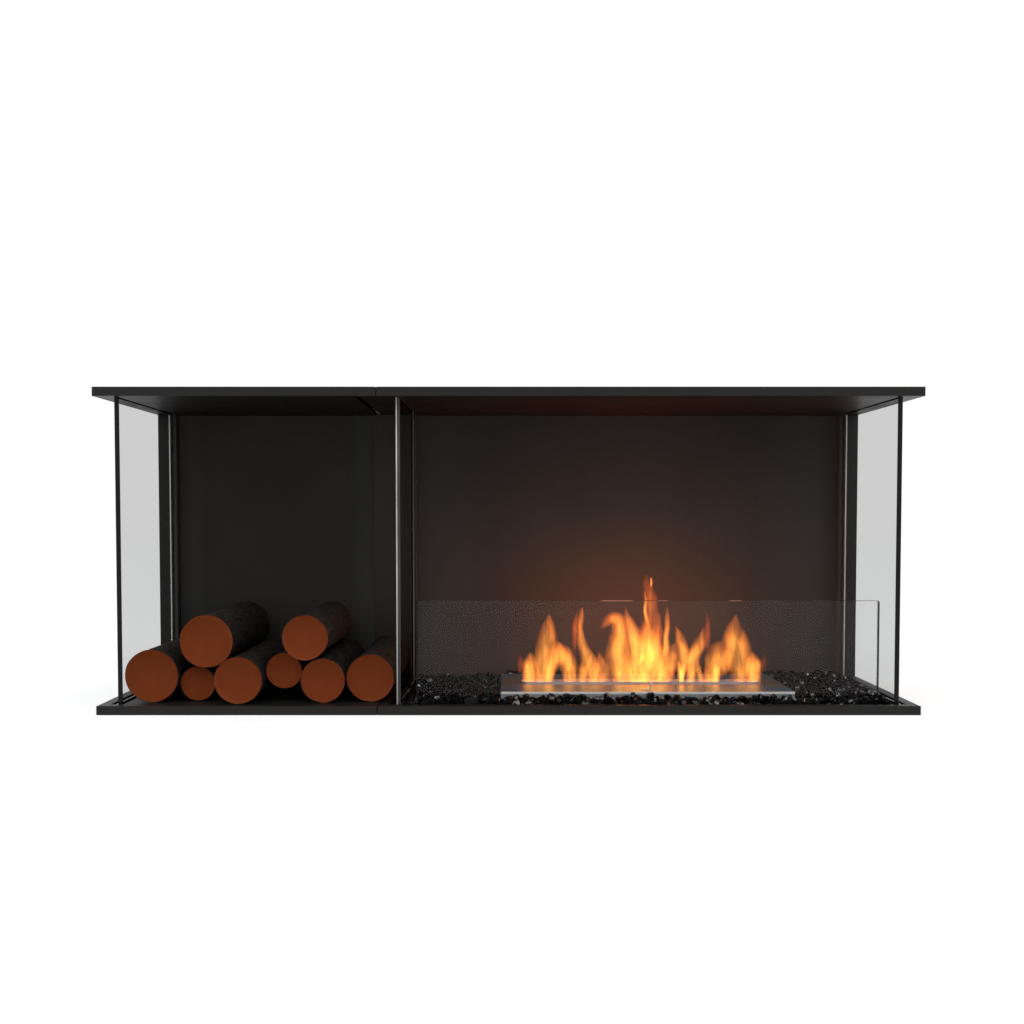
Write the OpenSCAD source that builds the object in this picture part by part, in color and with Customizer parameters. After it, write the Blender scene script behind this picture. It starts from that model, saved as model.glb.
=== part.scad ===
// Bioethanol fireplace insert: a glass-sided firebox with a log box beside it.
// Millimetres, +Z up, front towards -Y. The origin is the middle of the base.

/* [Overall size] */
// Height from the ground to the top cover
overall_h = 535; // [420:5:700]
// Depth from the front lip to the rear lip
depth = 450; // [445:5:600]
// Width of the log box module
log_box_w = 460; // [458:1:700]
// Width of the firebox module
firebox_w = 890; // [850:5:1400]
// Seam between the two modules
seam = 0.5; // [0.2:0.1:1]

/* [Sheet metal] */
// Thickness of the steel sheet
sheet_t = 2; // [1.5:0.1:2.5]
// Height of the lip round the base tray and the top cover
lip_h = 15; // [14:0.5:20]
// Width of the hollow rim round the base tray
rim_w = 18; // [12:0.5:20]
// Thickness of the pads under the tray
pad_t = 2; // [1:0.5:4]
// Side of a square pad
pad_side = 60; // [30:5:80]
// From the front lip to the middle of the front pads
pad_front = 99; // [60:1:140]
// From the front lip to the middle of the rear pads
pad_rear = 279; // [230:1:325]
// Clearance between folded sheets
fold_gap = 0.2; // [0.1:0.05:0.4]
// Radius of the folds in the sheet
bend_r = 1.6; // [0.8:0.1:3]
// Height of the flanges on the ceiling sheets
flange_h = 8; // [5:0.5:9]
// Width of the rear channels above the ceiling sheets
rail_w = 50; // [42:1:56]
// Room round the channels above the ceiling sheets
rail_gap = 1; // [0.3:0.1:2]
// Thickness of the insulation board over the firebox
board_t = 9; // [5:0.5:9]
// Room round the insulation board
board_room = 12; // [6:1:30]

/* [Rear casing] */
// Depth of the posts and the casing behind the open bay
case_d = 67; // [62:1:72]
// Width of a post that carries a glass
post_w = 35; // [33:1:45]
// Width of the blank post of the log box
blank_post_w = 43; // [36:1:60]
// Width of the lips at the back of a post
post_lip_w = 9; // [8:0.5:10]
// How far the inner back panel stands behind the post faces
panel_inset = 19; // [10:1:28]
// Depth of the folded edges of the inner back panel
panel_fold = 20; // [16:1:24]
// How far the outer back panel stands in from the rear lip
skin_inset = 3; // [3:0.5:6]

/* [Side glass] */
// Thickness of the side glass
glass_t = 8; // [6:1:10]
// From the side of the module to the outer face of its glass
glass_inset = 28.5; // [26:0.5:30]
// From the front lip to the front edge of the glass
glass_setback = 25; // [22:1:60]
// How far the glass stands up into the slot in the ceiling
glass_bite = 7; // [5:0.5:8]
// Clearance on each side of the glass in its channels
glass_gap = 0.4; // [0.2:0.1:0.8]
// Bevel on the front corners of the glass
glass_bevel = 0.8; // [0.3:0.1:1.5]
// Wall of the glazing channels
channel_t = 1.5; // [1:0.1:2]
// Height of the channels on the floor
channel_h = 9; // [7:0.5:10]
// Depth of the channels on the posts
post_channel_d = 15; // [10:0.5:20]
// Height of the setting blocks under the glass
block_t = 2; // [1:0.5:3]
// Length of a setting block
block_l = 40; // [20:5:80]
// Thickness of the seals on the top edges of the glass
gasket_t = 1.2; // [0.8:0.1:1.6]
// Clearance between those seals and the glass
gasket_gap = 0.1; // [0.05:0.05:0.3]

/* [Windscreen] */
// From the ends of a centred windscreen to the floor channels
screen_side = 20; // [14:0.5:60]
// How far the windscreen stands to the right of the middle of the firebox
screen_shift = 2.5; // [0:0.5:10]
// Height of the windscreen glass
screen_h = 178; // [100:1:260]
// Thickness of the windscreen
screen_t = 6; // [5:0.5:8]
// From the front lip to the front face of the windscreen
screen_setback = 47; // [46:0.5:50]
// Radius of the upper corners of the windscreen
screen_corner_r = 4; // [1:0.5:20]
// Length of a windscreen foot
foot_l = 60; // [30:5:100]
// Height of a windscreen foot
foot_h = 16; // [10:1:22]
// Wall of a windscreen foot
foot_t = 2; // [1.5:0.1:2.5]
// Width of the base of a windscreen foot
foot_base_w = 22; // [16:1:24]
// From the end of the windscreen to the middle of its foot
foot_inset = 110; // [60:5:200]
// Thickness of the rubber in a windscreen foot
liner_t = 1; // [0.5:0.1:1.5]
// Clearance on each side of the windscreen in the rubber
screen_gap = 0.15; // [0.1:0.05:0.3]

/* [Burner] */
// How far the burner stands to the right of the middle of the firebox
burner_shift = 7; // [0:0.5:12]
// Width of the burner deck
deck_w = 500; // [480:5:560]
// Depth of the burner deck
deck_d = 240; // [210:5:270]
// From the front lip to the front of the burner deck
deck_setback = 80; // [80:1:95]
// Thickness of the deck sheet
deck_t = 1.5; // [1:0.1:2]
// Height of the skirt round the deck
skirt_h = 12; // [6:0.5:16]
// How far the deck stands out past the tank
deck_overhang = 10; // [9:0.5:12]
// Height of the tank
tank_h = 21.5; // [20:0.5:60]
// Thickness of the tank sheet
tank_t = 1.2; // [0.8:0.1:1.6]
// Width of the flange round the top of the tank
tank_flange_w = 8; // [7:0.5:8]
// Height of the frame that the burner drops into
cradle_h = 8; // [4:0.5:9]
// Clearance between the tank and the frame
cradle_gap = 1.5; // [0.5:0.1:3]

/* [Flame slot] */
// From the ends of the tank to the slot in the deck
slot_end = 25; // [22:0.5:60]
// Width of the slot in the deck
slot_w = 36; // [32:1:50]
// Height of the collar round the slot
collar_h = 3; // [1:0.5:8]
// Wall of the collar round the slot
collar_t = 1.5; // [1:0.1:2.5]
// Distance from one window to the next
window_pitch = 30; // [24:1:30]
// Length of a window across the slot
window_d = 28; // [16:1:30]
// Thickness of the regulator slide
slide_t = 1.2; // [0.8:0.1:1.6]
// Width of the regulator slide
slide_d = 50; // [44:1:54]
// Clearance above and below the slide
slide_gap = 0.2; // [0.1:0.05:0.3]
// Clearance beside the slide
guide_gap = 0.3; // [0.2:0.1:0.6]
// Width of a guide rail
guide_w = 8; // [7:0.5:12]
// Height of the finger tab above the deck
tab_h = 14; // [8:0.5:25]
// Length of the finger tab from front to back
tab_d = 10; // [6:0.5:14]
// Thickness of the finger tab
tab_t = 1.5; // [1:0.1:2]
// From the front of the deck to the finger tab
tab_setback = 17; // [12:0.5:30]
// Width of the arm that carries the finger tab
arm_w = 12; // [8:0.5:16]
// Clearance round the finger tab in its slit
slit_gap = 0.5; // [0.3:0.1:1]
// Width of the ceramic fibre across the slot
wick_d = 66; // [40:1:90]
// From the ends of the tank to the ceramic fibre
wick_end = 20; // [5:0.5:60]
// Room above the ceramic fibre
wick_gap = 0.8; // [0.3:0.1:3]
// Plain end of the slide past its last window
slide_margin = 12; // [6:0.5:14]
// Room at the ends of the guide rails
guide_room = 2; // [1:0.5:4]

/* [Log sizes] */
// How much shorter the logs are than the open bay is deep
log_slack = 58; // [54:1:180]
// Bevel round the ends of a log
log_bevel = 1.2; // [0.5:0.1:3]
// Radius of log 1, on the floor beside the side glass
log_1_r = 44.8; // [40:0.1:45.5]
// Radius of log 2, lying on logs 3 and 4
log_2_r = 45; // [35:0.5:55]
// Radius of log 3, on the floor
log_3_r = 29.7; // [26:0.1:30]
// Radius of log 4, on the floor
log_4_r = 39.8; // [36:0.1:40.2]
// Radius of log 5, held between logs 4 and 6
log_5_r = 30.5; // [29.5:0.5:36]
// Radius of log 6, on the floor
log_6_r = 37.7; // [34:0.1:38]
// Radius of log 7, lying on logs 5 and 6
log_7_r = 38.5; // [30:0.5:45]
// Radius of log 8, on the floor
log_8_r = 40.4; // [36:0.1:40.8]
// Gap between logs, under them and beside the side glass
log_gap = 0.2; // [0.1:0.05:0.4]
// Extra room between logs 3 and 4
log_3_4_room = 6; // [0:0.5:6.5]
// From log 8 to the channel of the divider glass
log_8_room = 2; // [0.5:0.1:3]

/* [Log fronts] */
// From the front lip to the front end of log 1
log_1_front = 35; // [20:1:40]
// From the front lip to the front end of log 2
log_2_front = 37; // [20:1:40]
// From the front lip to the front end of log 3
log_3_front = 52; // [20:1:52]
// From the front lip to the front end of log 4
log_4_front = 14; // [14:1:40]
// From the front lip to the front end of log 5
log_5_front = 50; // [20:1:52]
// From the front lip to the front end of log 6
log_6_front = 31; // [20:1:40]
// From the front lip to the front end of log 7
log_7_front = 28; // [20:1:40]
// From the front lip to the front end of log 8
log_8_front = 41; // [20:1:41]

/* [Glass stones] */
// Distance from one stone to the next
stone_pitch = 27; // [22:1:36]
// Room between neighbouring stones
stone_room = 0.8; // [0.4:0.1:3]
// Height of the lowest stones
stone_low = 15; // [8:1:20]
// Height of the highest stones
stone_high = 26; // [21:1:32]
// Number that starts the scatter of the stones
stone_seed = 11; // [1:1:99]

/* [Fasteners] */
// Radius of the screws
screw_r = 2.5; // [1.5:0.25:3]
// Radius of the screw heads
head_r = 4.4; // [3.5:0.1:4.6]
// Height of the screw heads
head_h = 2.4; // [1.5:0.1:2.6]
// Length of the screws under their heads
screw_l = 9; // [7:0.5:12]
// Length of the screws of the inner back panels
panel_screw_l = 7; // [5:0.5:10]
// Clearance round a screw in a plain hole
hole_gap = 0.2; // [0.1:0.05:0.4]
// Clearance round a screw in its thread
thread_gap = 0.05; // [0.02:0.01:0.08]
// From the front and the back of a post to the screws through its ends
post_screw_inset = 14; // [10:1:20]
// From the tray and the ceiling to the screws of the inner back panels
panel_screw_drop = 45; // [20:1:80]
// From the tray and the ceiling to the screws of the outer back panels
skin_screw_drop = 25; // [10:1:60]
// Radius of the bolts that join the modules
bolt_r = 3; // [2:0.25:4]
// Radius across the corners of their heads and nuts
bolt_head_r = 5.4; // [5:0.1:7]
// Height of their heads
bolt_head_h = 4; // [3:0.5:6]
// Height of their nuts
nut_h = 5; // [3:0.5:8]
// How far a bolt stands out of its nut
bolt_tip = 4; // [1:0.5:6]
// From the tray and the ceiling to those bolts
bolt_drop = 95; // [70:1:150]
// Radius of the holes for the wall fixings
fixing_r = 3.5; // [2:0.25:5]
// From the side of a module to its wall fixings
fixing_inset = 60; // [50:1:100]
// From the tray and the ceiling to the wall fixings
fixing_drop = 60; // [30:1:120]
// Radius of the burner's rivets
rivet_r = 1.5; // [1:0.1:2]
// Radius of the heads of those rivets
rivet_head_r = 2.7; // [2.4:0.1:3.2]
// Height of the heads of those rivets
rivet_head_h = 0.8; // [0.4:0.1:1.2]
// Number of rivets along each guide rail
rivet_n = 4; // [4:2:6]
// From the ends of the guide rails to the first rivets
rivet_inset = 10; // [6:0.5:20]
// Length of the deck screws under the flange of the tank
deck_screw_tip = 2.5; // [1:0.5:5]
// From the ends of the tank to the deck screws
deck_screw_inset = 12; // [8:0.5:30]

/* [Hidden] */
$fn = 48;
// How far a cut runs past the face that it opens
cut = 1;
// Length of a cut through the sheet
through = sheet_t + 2 * cut;

// Sides of the two modules
left_x = -(log_box_w + firebox_w) / 2;
right_x = -left_x;
seam_x = left_x + log_box_w;
LOG_BOX = [left_x, seam_x - seam / 2];
FIREBOX = [seam_x + seam / 2, right_x];

// Heights
floor_z = pad_t + sheet_t;
soffit_z = overall_h - lip_h;
cavity_z = soffit_z + sheet_t;
cavity_h = lip_h - 2 * sheet_t;
glass_z = floor_z + channel_t + block_t;
glass_top = cavity_z + glass_bite - sheet_t;

// Distances behind the front lip
bay_d = depth - case_d;
skin_d = depth - skin_inset - sheet_t;
post_d = skin_d - bay_d;
panel_d = bay_d + panel_inset;
glass_end = bay_d - channel_t - glass_gap;
bolt_d = bay_d + post_d / 2;
panel_screw_d = panel_d + panel_fold / 2 + sheet_t / 2;
SCREW_DEPTHS = [bay_d + post_screw_inset, skin_d - post_screw_inset];

// Heights of the bolts, the screws and the wall fixings
middle_z = (lip_h + soffit_z) / 2;
BOLT_Z = [lip_h + bolt_drop, soffit_z - bolt_drop];
PANEL_Z = [lip_h + panel_screw_drop, middle_z, soffit_z - panel_screw_drop];
SKIN_Z = [lip_h + skin_screw_drop, middle_z, soffit_z - skin_screw_drop];
FIXING_Z = [lip_h + fixing_drop, soffit_z - fixing_drop];

// Lefthand faces of the glass panels, and of the slot that stays empty
log_glass_x = LOG_BOX[0] + glass_inset;
spare_slot_x = LOG_BOX[1] - glass_inset - glass_t;
divider_x = FIREBOX[0] + glass_inset;
right_glass_x = FIREBOX[1] - glass_inset - glass_t;
GLASS_X = [log_glass_x, divider_x, right_glass_x];
channel_w = glass_t + 2 * (glass_gap + channel_t);
channel_side = glass_gap + channel_t;

// Burner
burner_x = (FIREBOX[0] + FIREBOX[1]) / 2 + burner_shift;
deck_z = floor_z + tank_h;
deck_top = deck_z + deck_t;
slot_d = deck_setback + deck_d / 2;
tank_w = deck_w - 2 * deck_overhang;
tank_d = deck_d - 2 * deck_overhang;
tank_front = deck_setback + deck_overhang;
slot_l = tank_w - 2 * slot_end;
wick_l = tank_w - 2 * wick_end;
window_w = window_pitch / 2;
travel = window_w;
slide_z = deck_z - slide_gap - slide_t;
guide_h = slide_t + 2 * slide_gap;
baffle_z = deck_z - guide_h - slide_t;
guide_l = tank_w - 2 * (tank_t + guide_room);
field_room = min(slot_l, guide_l - 2 * (slide_margin + travel));
window_n = floor((field_room + window_w) / window_pitch);
field_l = window_n * window_pitch - window_w;
slide_l = field_l + 2 * slide_margin;
guide_off = slide_d / 2 + guide_gap;
baffle_d = 2 * (guide_off + guide_w);
tab_x = burner_x + travel / 2;
tab_front = deck_setback + tab_setback;

// Windscreen
screen_x = (FIREBOX[0] + FIREBOX[1]) / 2 + screen_shift;
screen_w = right_glass_x - divider_x - glass_t - 2 * (channel_side + screen_side);
screen_mid_d = screen_setback + screen_t / 2;
foot_slot = screen_t + 2 * (liner_t + screen_gap);
foot_d = foot_slot + 2 * foot_t;
screen_z = floor_z + foot_t + liner_t;
FOOT_X = [screen_x - screen_w / 2 + foot_inset, screen_x + screen_w / 2 - foot_inset];

// Middles of the posts of a module, given the widths of its posts
function post_mids(module_x, left_w, right_w) = [module_x[0] + left_w / 2, module_x[1] - right_w / 2];
LOG_POSTS = post_mids(LOG_BOX, post_w, blank_post_w);
FIRE_POSTS = post_mids(FIREBOX, post_w, post_w);

// Moves what follows to a place given from the front lip
module at(x, d, z) {
    translate([x, d - depth / 2, z])
        children();
}

// A closed box that is hollow inside
module box_shell(size, wall) {
    difference() {
        cube(size);
        translate([wall, wall, wall])
            cube([size[0] - 2 * wall, size[1] - 2 * wall, size[2] - 2 * wall]);
    }
}

// A square with two or four round corners
module round_square(size, r, corners = 4) {
    xs = [r, size[0] - r];
    low = corners == 4 ? r : 0;
    translate([r, 0])
        square([size[0] - 2 * r, size[1]]);
    translate([0, low])
        square([size[0], size[1] - r - low]);
    for (x = xs, y = corners == 4 ? [r, size[1] - r] : [size[1] - r])
        translate([x, y])
            circle(r);
}

// A box folded from sheet: its upright corners and its upper edges are round
module folded_box(size, r) {
    intersection() {
        linear_extrude(height = size[2])
            round_square([size[0], size[1]], r);
        translate([0, size[1], 0])
            rotate([90, 0, 0])
                linear_extrude(height = size[1])
                    round_square([size[0], size[2]], r, 2);
        rotate([90, 0, 90])
            linear_extrude(height = size[0])
                round_square([size[1], size[2]], r, 2);
    }
}

// A hole or shank along one axis, starting at the origin
module rod(r, length, axis) {
    turn = axis == "x" ? [0, 90, 0] : axis == "y" ? [-90, 0, 0] : [0, 0, 0];
    rotate(turn)
        cylinder(r = r, h = length);
}

// A pan-headed screw whose head sits below the origin
module screw(length, axis, flip = false) {
    turn = axis == "x" ? [0, 90, 0] : axis == "y" ? [-90, 0, 0] : [0, 0, 0];
    rotate(turn)
        rotate([flip ? 180 : 0, 0, 0])
            rotate_extrude()
                polygon([
                    [0, -head_h], [head_r * 0.7, -head_h], [head_r, -head_h * 0.5], [head_r, 0],
                    [screw_r, 0], [screw_r, length - screw_r * 0.4], [screw_r * 0.6, length], [0, length]
                ]);
}

// Base trays

module tray(module_x, mids) {
    w = module_x[1] - module_x[0];
    inner = rim_w - sheet_t;
    difference() {
        at(module_x[0], 0, 0)
            folded_box([w, depth, lip_h], bend_r);
        at(module_x[0] + rim_w, rim_w, floor_z)
            cube([w - 2 * rim_w, bay_d - rim_w, lip_h]);
        difference() {
            at(module_x[0] + sheet_t, sheet_t, -cut)
                cube([w - 2 * sheet_t, depth - 2 * sheet_t, lip_h - sheet_t + cut]);
            at(module_x[0] + inner, inner, pad_t)
                cube([w - 2 * inner, bay_d + sheet_t - inner, lip_h]);
        }
        for (x = mids, d = SCREW_DEPTHS)
            at(x, d, 0)
                rod(screw_r + hole_gap, lip_h + cut, "z");
    }
}

module log_box_tray() {
    color("#262524") tray(LOG_BOX, LOG_POSTS);
}

module firebox_tray() {
    color("#262524") tray(FIREBOX, FIRE_POSTS);
}

// Two rows of pads between the ground and the tray, in evenly spread columns
module pads(module_x, columns) {
    w = module_x[1] - module_x[0];
    for (i = [0 : columns - 1], d = [pad_front, pad_rear])
        at(module_x[0] + w * (i + 0.5) / columns - pad_side / 2, d - pad_side / 2, 0)
            cube([pad_side, pad_side, pad_t]);
}

module log_box_pads() {
    color("#3a3a3c") pads(LOG_BOX, 2);
}

module firebox_pads() {
    color("#3a3a3c") pads(FIREBOX, 3);
}

// Raised floor that lies flush with the rim of the log box tray
module log_box_floor() {
    x0 = log_glass_x + glass_t + channel_side + fold_gap;
    x1 = LOG_BOX[1] - rim_w - fold_gap;
    d0 = rim_w + fold_gap;
    d1 = bay_d - fold_gap;
    color("#2b2a28")
        at(x0, d0, floor_z)
            difference() {
                folded_box([x1 - x0, d1 - d0, lip_h - floor_z], bend_r);
                translate([sheet_t, sheet_t, -cut])
                    cube([x1 - x0 - 2 * sheet_t, d1 - d0 - 2 * sheet_t, lip_h - floor_z - sheet_t + cut]);
            }
}

// Posts and panels

// A post whose panel side is 1 where the back panel is on its right, and 0 on its left
module post(x, w, panel_side, joined) {
    h = soffit_z - lip_h;
    color("#222120")
        difference() {
            at(x, bay_d, lip_h)
                box_shell([w, post_d, h], sheet_t);
            at(x + post_lip_w, skin_d - sheet_t - cut, lip_h + sheet_t)
                cube([w - 2 * post_lip_w, through, h - 2 * sheet_t]);
            for (d = SCREW_DEPTHS)
                at(x + w / 2, d, lip_h - cut)
                    rod(screw_r + thread_gap, h + 2 * cut, "z");
            for (z = PANEL_Z)
                at(x + panel_side * (w - sheet_t) - cut, panel_screw_d, z)
                    rod(screw_r + thread_gap, through, "x");
            if (joined)
                for (z = BOLT_Z)
                    at(x + (1 - panel_side) * (w - sheet_t) - cut, bolt_d, z)
                        rod(bolt_r + hole_gap, through, "x");
            for (z = SKIN_Z, side = [post_lip_w / 2, w - post_lip_w / 2])
                at(x + side, skin_d - sheet_t - cut, z)
                    rod(screw_r + thread_gap, through, "y");
        }
}

module log_box_left_post() {
    post(LOG_BOX[0], post_w, 1, false);
}

module log_box_right_post() {
    post(LOG_BOX[1] - blank_post_w, blank_post_w, 0, true);
}

module firebox_left_post() {
    post(FIREBOX[0], post_w, 1, true);
}

module firebox_right_post() {
    post(FIREBOX[1] - post_w, post_w, 0, false);
}

// Inner back panel: a pan with folded edges between the posts
module back_panel(x0, x1) {
    w = x1 - x0 - 2 * fold_gap;
    h = soffit_z - lip_h - 2 * fold_gap;
    difference() {
        at(x0 + fold_gap, panel_d, lip_h + fold_gap)
            cube([w, panel_fold, h]);
        at(x0 + fold_gap + sheet_t, panel_d + sheet_t, lip_h + fold_gap + sheet_t)
            cube([w - 2 * sheet_t, panel_fold, h - 2 * sheet_t]);
        for (z = PANEL_Z)
            at(x0, panel_screw_d, z)
                rod(screw_r + hole_gap, x1 - x0, "x");
    }
}

module log_box_back_panel() {
    color("#1d1c1b") back_panel(LOG_BOX[0] + post_w, LOG_BOX[1] - blank_post_w);
}

module firebox_back_panel() {
    color("#2a2320") back_panel(FIREBOX[0] + post_w, FIREBOX[1] - post_w);
}

// Outer back panel with its holes for the wall fixings
module rear_skin(module_x, left_w, right_w) {
    w = module_x[1] - module_x[0] - 2 * fold_gap;
    h = soffit_z - lip_h - 2 * fold_gap;
    x0 = module_x[0] + fold_gap;
    difference() {
        at(x0, skin_d, lip_h + fold_gap)
            cube([w, sheet_t, h]);
        for (x = [module_x[0] + fixing_inset, module_x[1] - fixing_inset], z = FIXING_Z)
            at(x, skin_d - cut, z)
                rod(fixing_r, through, "y");
        for (x = skin_screw_xs(module_x, left_w, right_w), z = SKIN_Z)
            at(x, skin_d - cut, z)
                rod(screw_r + hole_gap, through, "y");
    }
}

// Places across a module of the screws of its outer back panel
function skin_screw_xs(module_x, left_w, right_w) = [
    module_x[0] + post_lip_w / 2, module_x[0] + left_w - post_lip_w / 2,
    module_x[1] - right_w + post_lip_w / 2, module_x[1] - post_lip_w / 2
];

module log_box_rear_skin() {
    color("#2c2c2d") rear_skin(LOG_BOX, post_w, blank_post_w);
}

module firebox_rear_skin() {
    color("#2c2c2d") rear_skin(FIREBOX, post_w, post_w);
}

// Ceiling and top cover

module soffit(module_x, slots, mids) {
    inset = sheet_t + fold_gap;
    w = module_x[1] - module_x[0] - 2 * inset;
    d = depth - 2 * inset;
    difference() {
        at(module_x[0] + inset, inset, soffit_z)
            cube([w, d, sheet_t + flange_h]);
        at(module_x[0] + inset + sheet_t, inset + sheet_t, cavity_z)
            cube([w - 2 * sheet_t, d - 2 * sheet_t, flange_h + cut]);
        for (x = slots)
            at(x - glass_gap, glass_setback - glass_gap, soffit_z - cut)
                cube([glass_t + 2 * glass_gap, glass_end - glass_setback + 2 * glass_gap, through]);
        for (x = mids, sd = SCREW_DEPTHS)
            at(x, sd, soffit_z - cut)
                rod(screw_r + hole_gap, through, "z");
    }
}

module log_box_soffit() {
    color("#201f1d") soffit(LOG_BOX, [log_glass_x, spare_slot_x], LOG_POSTS);
}

module firebox_soffit() {
    color("#2a1f1a") soffit(FIREBOX, [divider_x, right_glass_x], FIRE_POSTS);
}

module top_pan(module_x) {
    w = module_x[1] - module_x[0];
    difference() {
        at(module_x[0], 0, soffit_z)
            folded_box([w, depth, lip_h], bend_r);
        at(module_x[0] + sheet_t, sheet_t, soffit_z - cut)
            cube([w - 2 * sheet_t, depth - 2 * sheet_t, lip_h - sheet_t + cut]);
    }
}

module log_box_top_pan() {
    color("#2a2927") top_pan(LOG_BOX);
}

module firebox_top_pan() {
    color("#2a2927") top_pan(FIREBOX);
}

// Channels between the ceiling and the cover, which the post screws run into
module top_rails(module_x, mids) {
    inset = 2 * (sheet_t + fold_gap) + rail_gap;
    w = module_x[1] - module_x[0] - 2 * inset;
    front_w = glass_setback - 2 * inset;
    difference() {
        union() {
            at(module_x[0] + inset, inset, cavity_z)
                u_rail([w, front_w, cavity_h]);
            at(module_x[0] + inset, bay_d + (post_d - rail_w) / 2, cavity_z)
                u_rail([w, rail_w, cavity_h]);
        }
        for (x = mids, sd = SCREW_DEPTHS)
            at(x, sd, cavity_z - cut)
                rod(screw_r + thread_gap, through, "z");
    }
}

module u_rail(size) {
    difference() {
        cube(size);
        translate([-cut, sheet_t, sheet_t])
            cube([size[0] + 2 * cut, size[1] - 2 * sheet_t, size[2]]);
    }
}

module log_box_top_rails() {
    color("#8f9295") top_rails(LOG_BOX, LOG_POSTS);
}

module firebox_top_rails() {
    color("#8f9295") top_rails(FIREBOX, FIRE_POSTS);
}

// Insulation board that lies on the firebox ceiling over the flames
module firebox_insulation() {
    side = glass_inset + glass_t + board_room;
    front = glass_setback + board_room;
    color("#cfc7b8")
        at(FIREBOX[0] + side, front, cavity_z)
            cube([FIREBOX[1] - FIREBOX[0] - 2 * side, bay_d - board_room - front, board_t]);
}

// Side glass and what holds it

// One panel of side glass, with its front corners bevelled
module side_glass(x) {
    length = glass_end - glass_setback;
    color([0.72, 0.78, 0.78, 0.3])
        at(x, glass_setback, glass_z)
            linear_extrude(height = glass_top - glass_z)
                polygon([
                    [glass_bevel, 0], [glass_t - glass_bevel, 0], [glass_t, glass_bevel],
                    [glass_t, length], [0, length], [0, glass_bevel]
                ]);
}

module log_box_glass() {
    side_glass(log_glass_x);
}

module divider_glass() {
    side_glass(divider_x);
}

module right_glass() {
    side_glass(right_glass_x);
}

module floor_channels() {
    color("#1b1b1b")
        for (x = GLASS_X)
            at(x - channel_side, glass_setback, floor_z)
                difference() {
                    cube([channel_w, bay_d - post_channel_d - glass_setback, channel_h]);
                    translate([channel_t, -cut, channel_t])
                        cube([channel_w - 2 * channel_t, bay_d, channel_h]);
                }
}

module post_channels() {
    color("#1b1b1b")
        for (x = GLASS_X)
            at(x - channel_side, bay_d - post_channel_d, floor_z)
                difference() {
                    cube([channel_w, post_channel_d, soffit_z - fold_gap - floor_z]);
                    translate([channel_t, -cut, -cut])
                        cube([channel_w - 2 * channel_t, post_channel_d - channel_t + cut, soffit_z]);
                }
}

// Two blocks under each glass, at the quarters of its length
module setting_blocks() {
    run = bay_d - post_channel_d - glass_setback;
    color("#141414")
        for (x = GLASS_X, quarter = [1, 3])
            at(x, glass_setback + run * quarter / 4 - block_l / 2, floor_z + channel_t)
                cube([glass_t, block_l, block_t]);
}

module glass_gaskets() {
    wall = gasket_t + gasket_gap;
    h = glass_top - cavity_z + gasket_gap;
    color("#111111")
        for (x = GLASS_X)
            at(x - wall, glass_setback, cavity_z)
                difference() {
                    cube([glass_t + 2 * wall, glass_end - glass_setback, h + gasket_t]);
                    translate([gasket_t, -cut, -cut])
                        cube([glass_t + 2 * gasket_gap, glass_end, h + cut]);
                }
}

// Windscreen

module windscreen() {
    color([0.75, 0.8, 0.8, 0.25])
        at(screen_x - screen_w / 2, screen_setback + screen_t, screen_z)
            rotate([90, 0, 0])
                linear_extrude(height = screen_t)
                    round_square([screen_w, screen_h], screen_corner_r, 2);
}

// Section of a foot: a wide base with two walls that stand up round the rubber
module foot_section() {
    translate([-foot_base_w / 2, 0])
        square([foot_base_w, foot_t]);
    for (side = [-1, 1])
        translate([side * (foot_slot + foot_t) / 2 - foot_t / 2, 0])
            square([foot_t, foot_h]);
}

module liner_section() {
    inner = screen_t + 2 * screen_gap;
    difference() {
        translate([-foot_slot / 2, foot_t])
            square([foot_slot, foot_h - foot_t]);
        translate([-inner / 2, foot_t + liner_t])
            square([inner, foot_h]);
    }
}

// Runs a section along X, centred on each windscreen foot
module at_feet(length) {
    for (x = FOOT_X)
        at(x - length / 2, screen_mid_d, floor_z)
            rotate([90, 0, 90])
                linear_extrude(height = length)
                    children();
}

module windscreen_feet() {
    color("#a9abac") at_feet(foot_l) foot_section();
}

module windscreen_liners() {
    color("#101010") at_feet(foot_l) liner_section();
}

// Burner

module burner_cradle() {
    w = tank_w + 2 * (cradle_gap + sheet_t);
    d = tank_d + 2 * (cradle_gap + sheet_t);
    color("#2b2b2b")
        at(burner_x - w / 2, tank_front - cradle_gap - sheet_t, floor_z)
            difference() {
                cube([w, d, cradle_h]);
                translate([sheet_t, sheet_t, -cut])
                    cube([w - 2 * sheet_t, d - 2 * sheet_t, cradle_h + 2 * cut]);
            }
}

module burner_tank() {
    color("#b4b2ae")
        difference() {
            union() {
                at(burner_x - tank_w / 2, tank_front, floor_z)
                    cube([tank_w, tank_d, tank_h]);
                at(burner_x - tank_w / 2 - tank_flange_w, tank_front - tank_flange_w, deck_z - tank_t)
                    cube([tank_w + 2 * tank_flange_w, tank_d + 2 * tank_flange_w, tank_t]);
            }
            at(burner_x - tank_w / 2 + tank_t, tank_front + tank_t, floor_z + tank_t)
                cube([tank_w - 2 * tank_t, tank_d - 2 * tank_t, tank_h]);
            for (p = DECK_SCREWS)
                at(p[0], p[1], deck_z - tank_t - cut)
                    rod(rivet_r + thread_gap, tank_t + 2 * cut, "z");
        }
}

// Screws at the corners and the middles of the deck's long sides
DECK_SCREWS = [
    for (side = [-1, 0, 1], d = [tank_front - tank_flange_w / 2, tank_front + tank_d + tank_flange_w / 2])
        [burner_x + side * (tank_w / 2 - deck_screw_inset), d]
];

// Rivets through the deck, the guide rails and the baffle plate
RIVETS = [
    for (i = [0 : rivet_n - 1], row = [-1, 1])
        [
            burner_x + (2 * i / (rivet_n - 1) - 1) * (guide_l / 2 - rivet_inset),
            slot_d + row * (guide_off + guide_w / 2)
        ]
];

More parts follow.
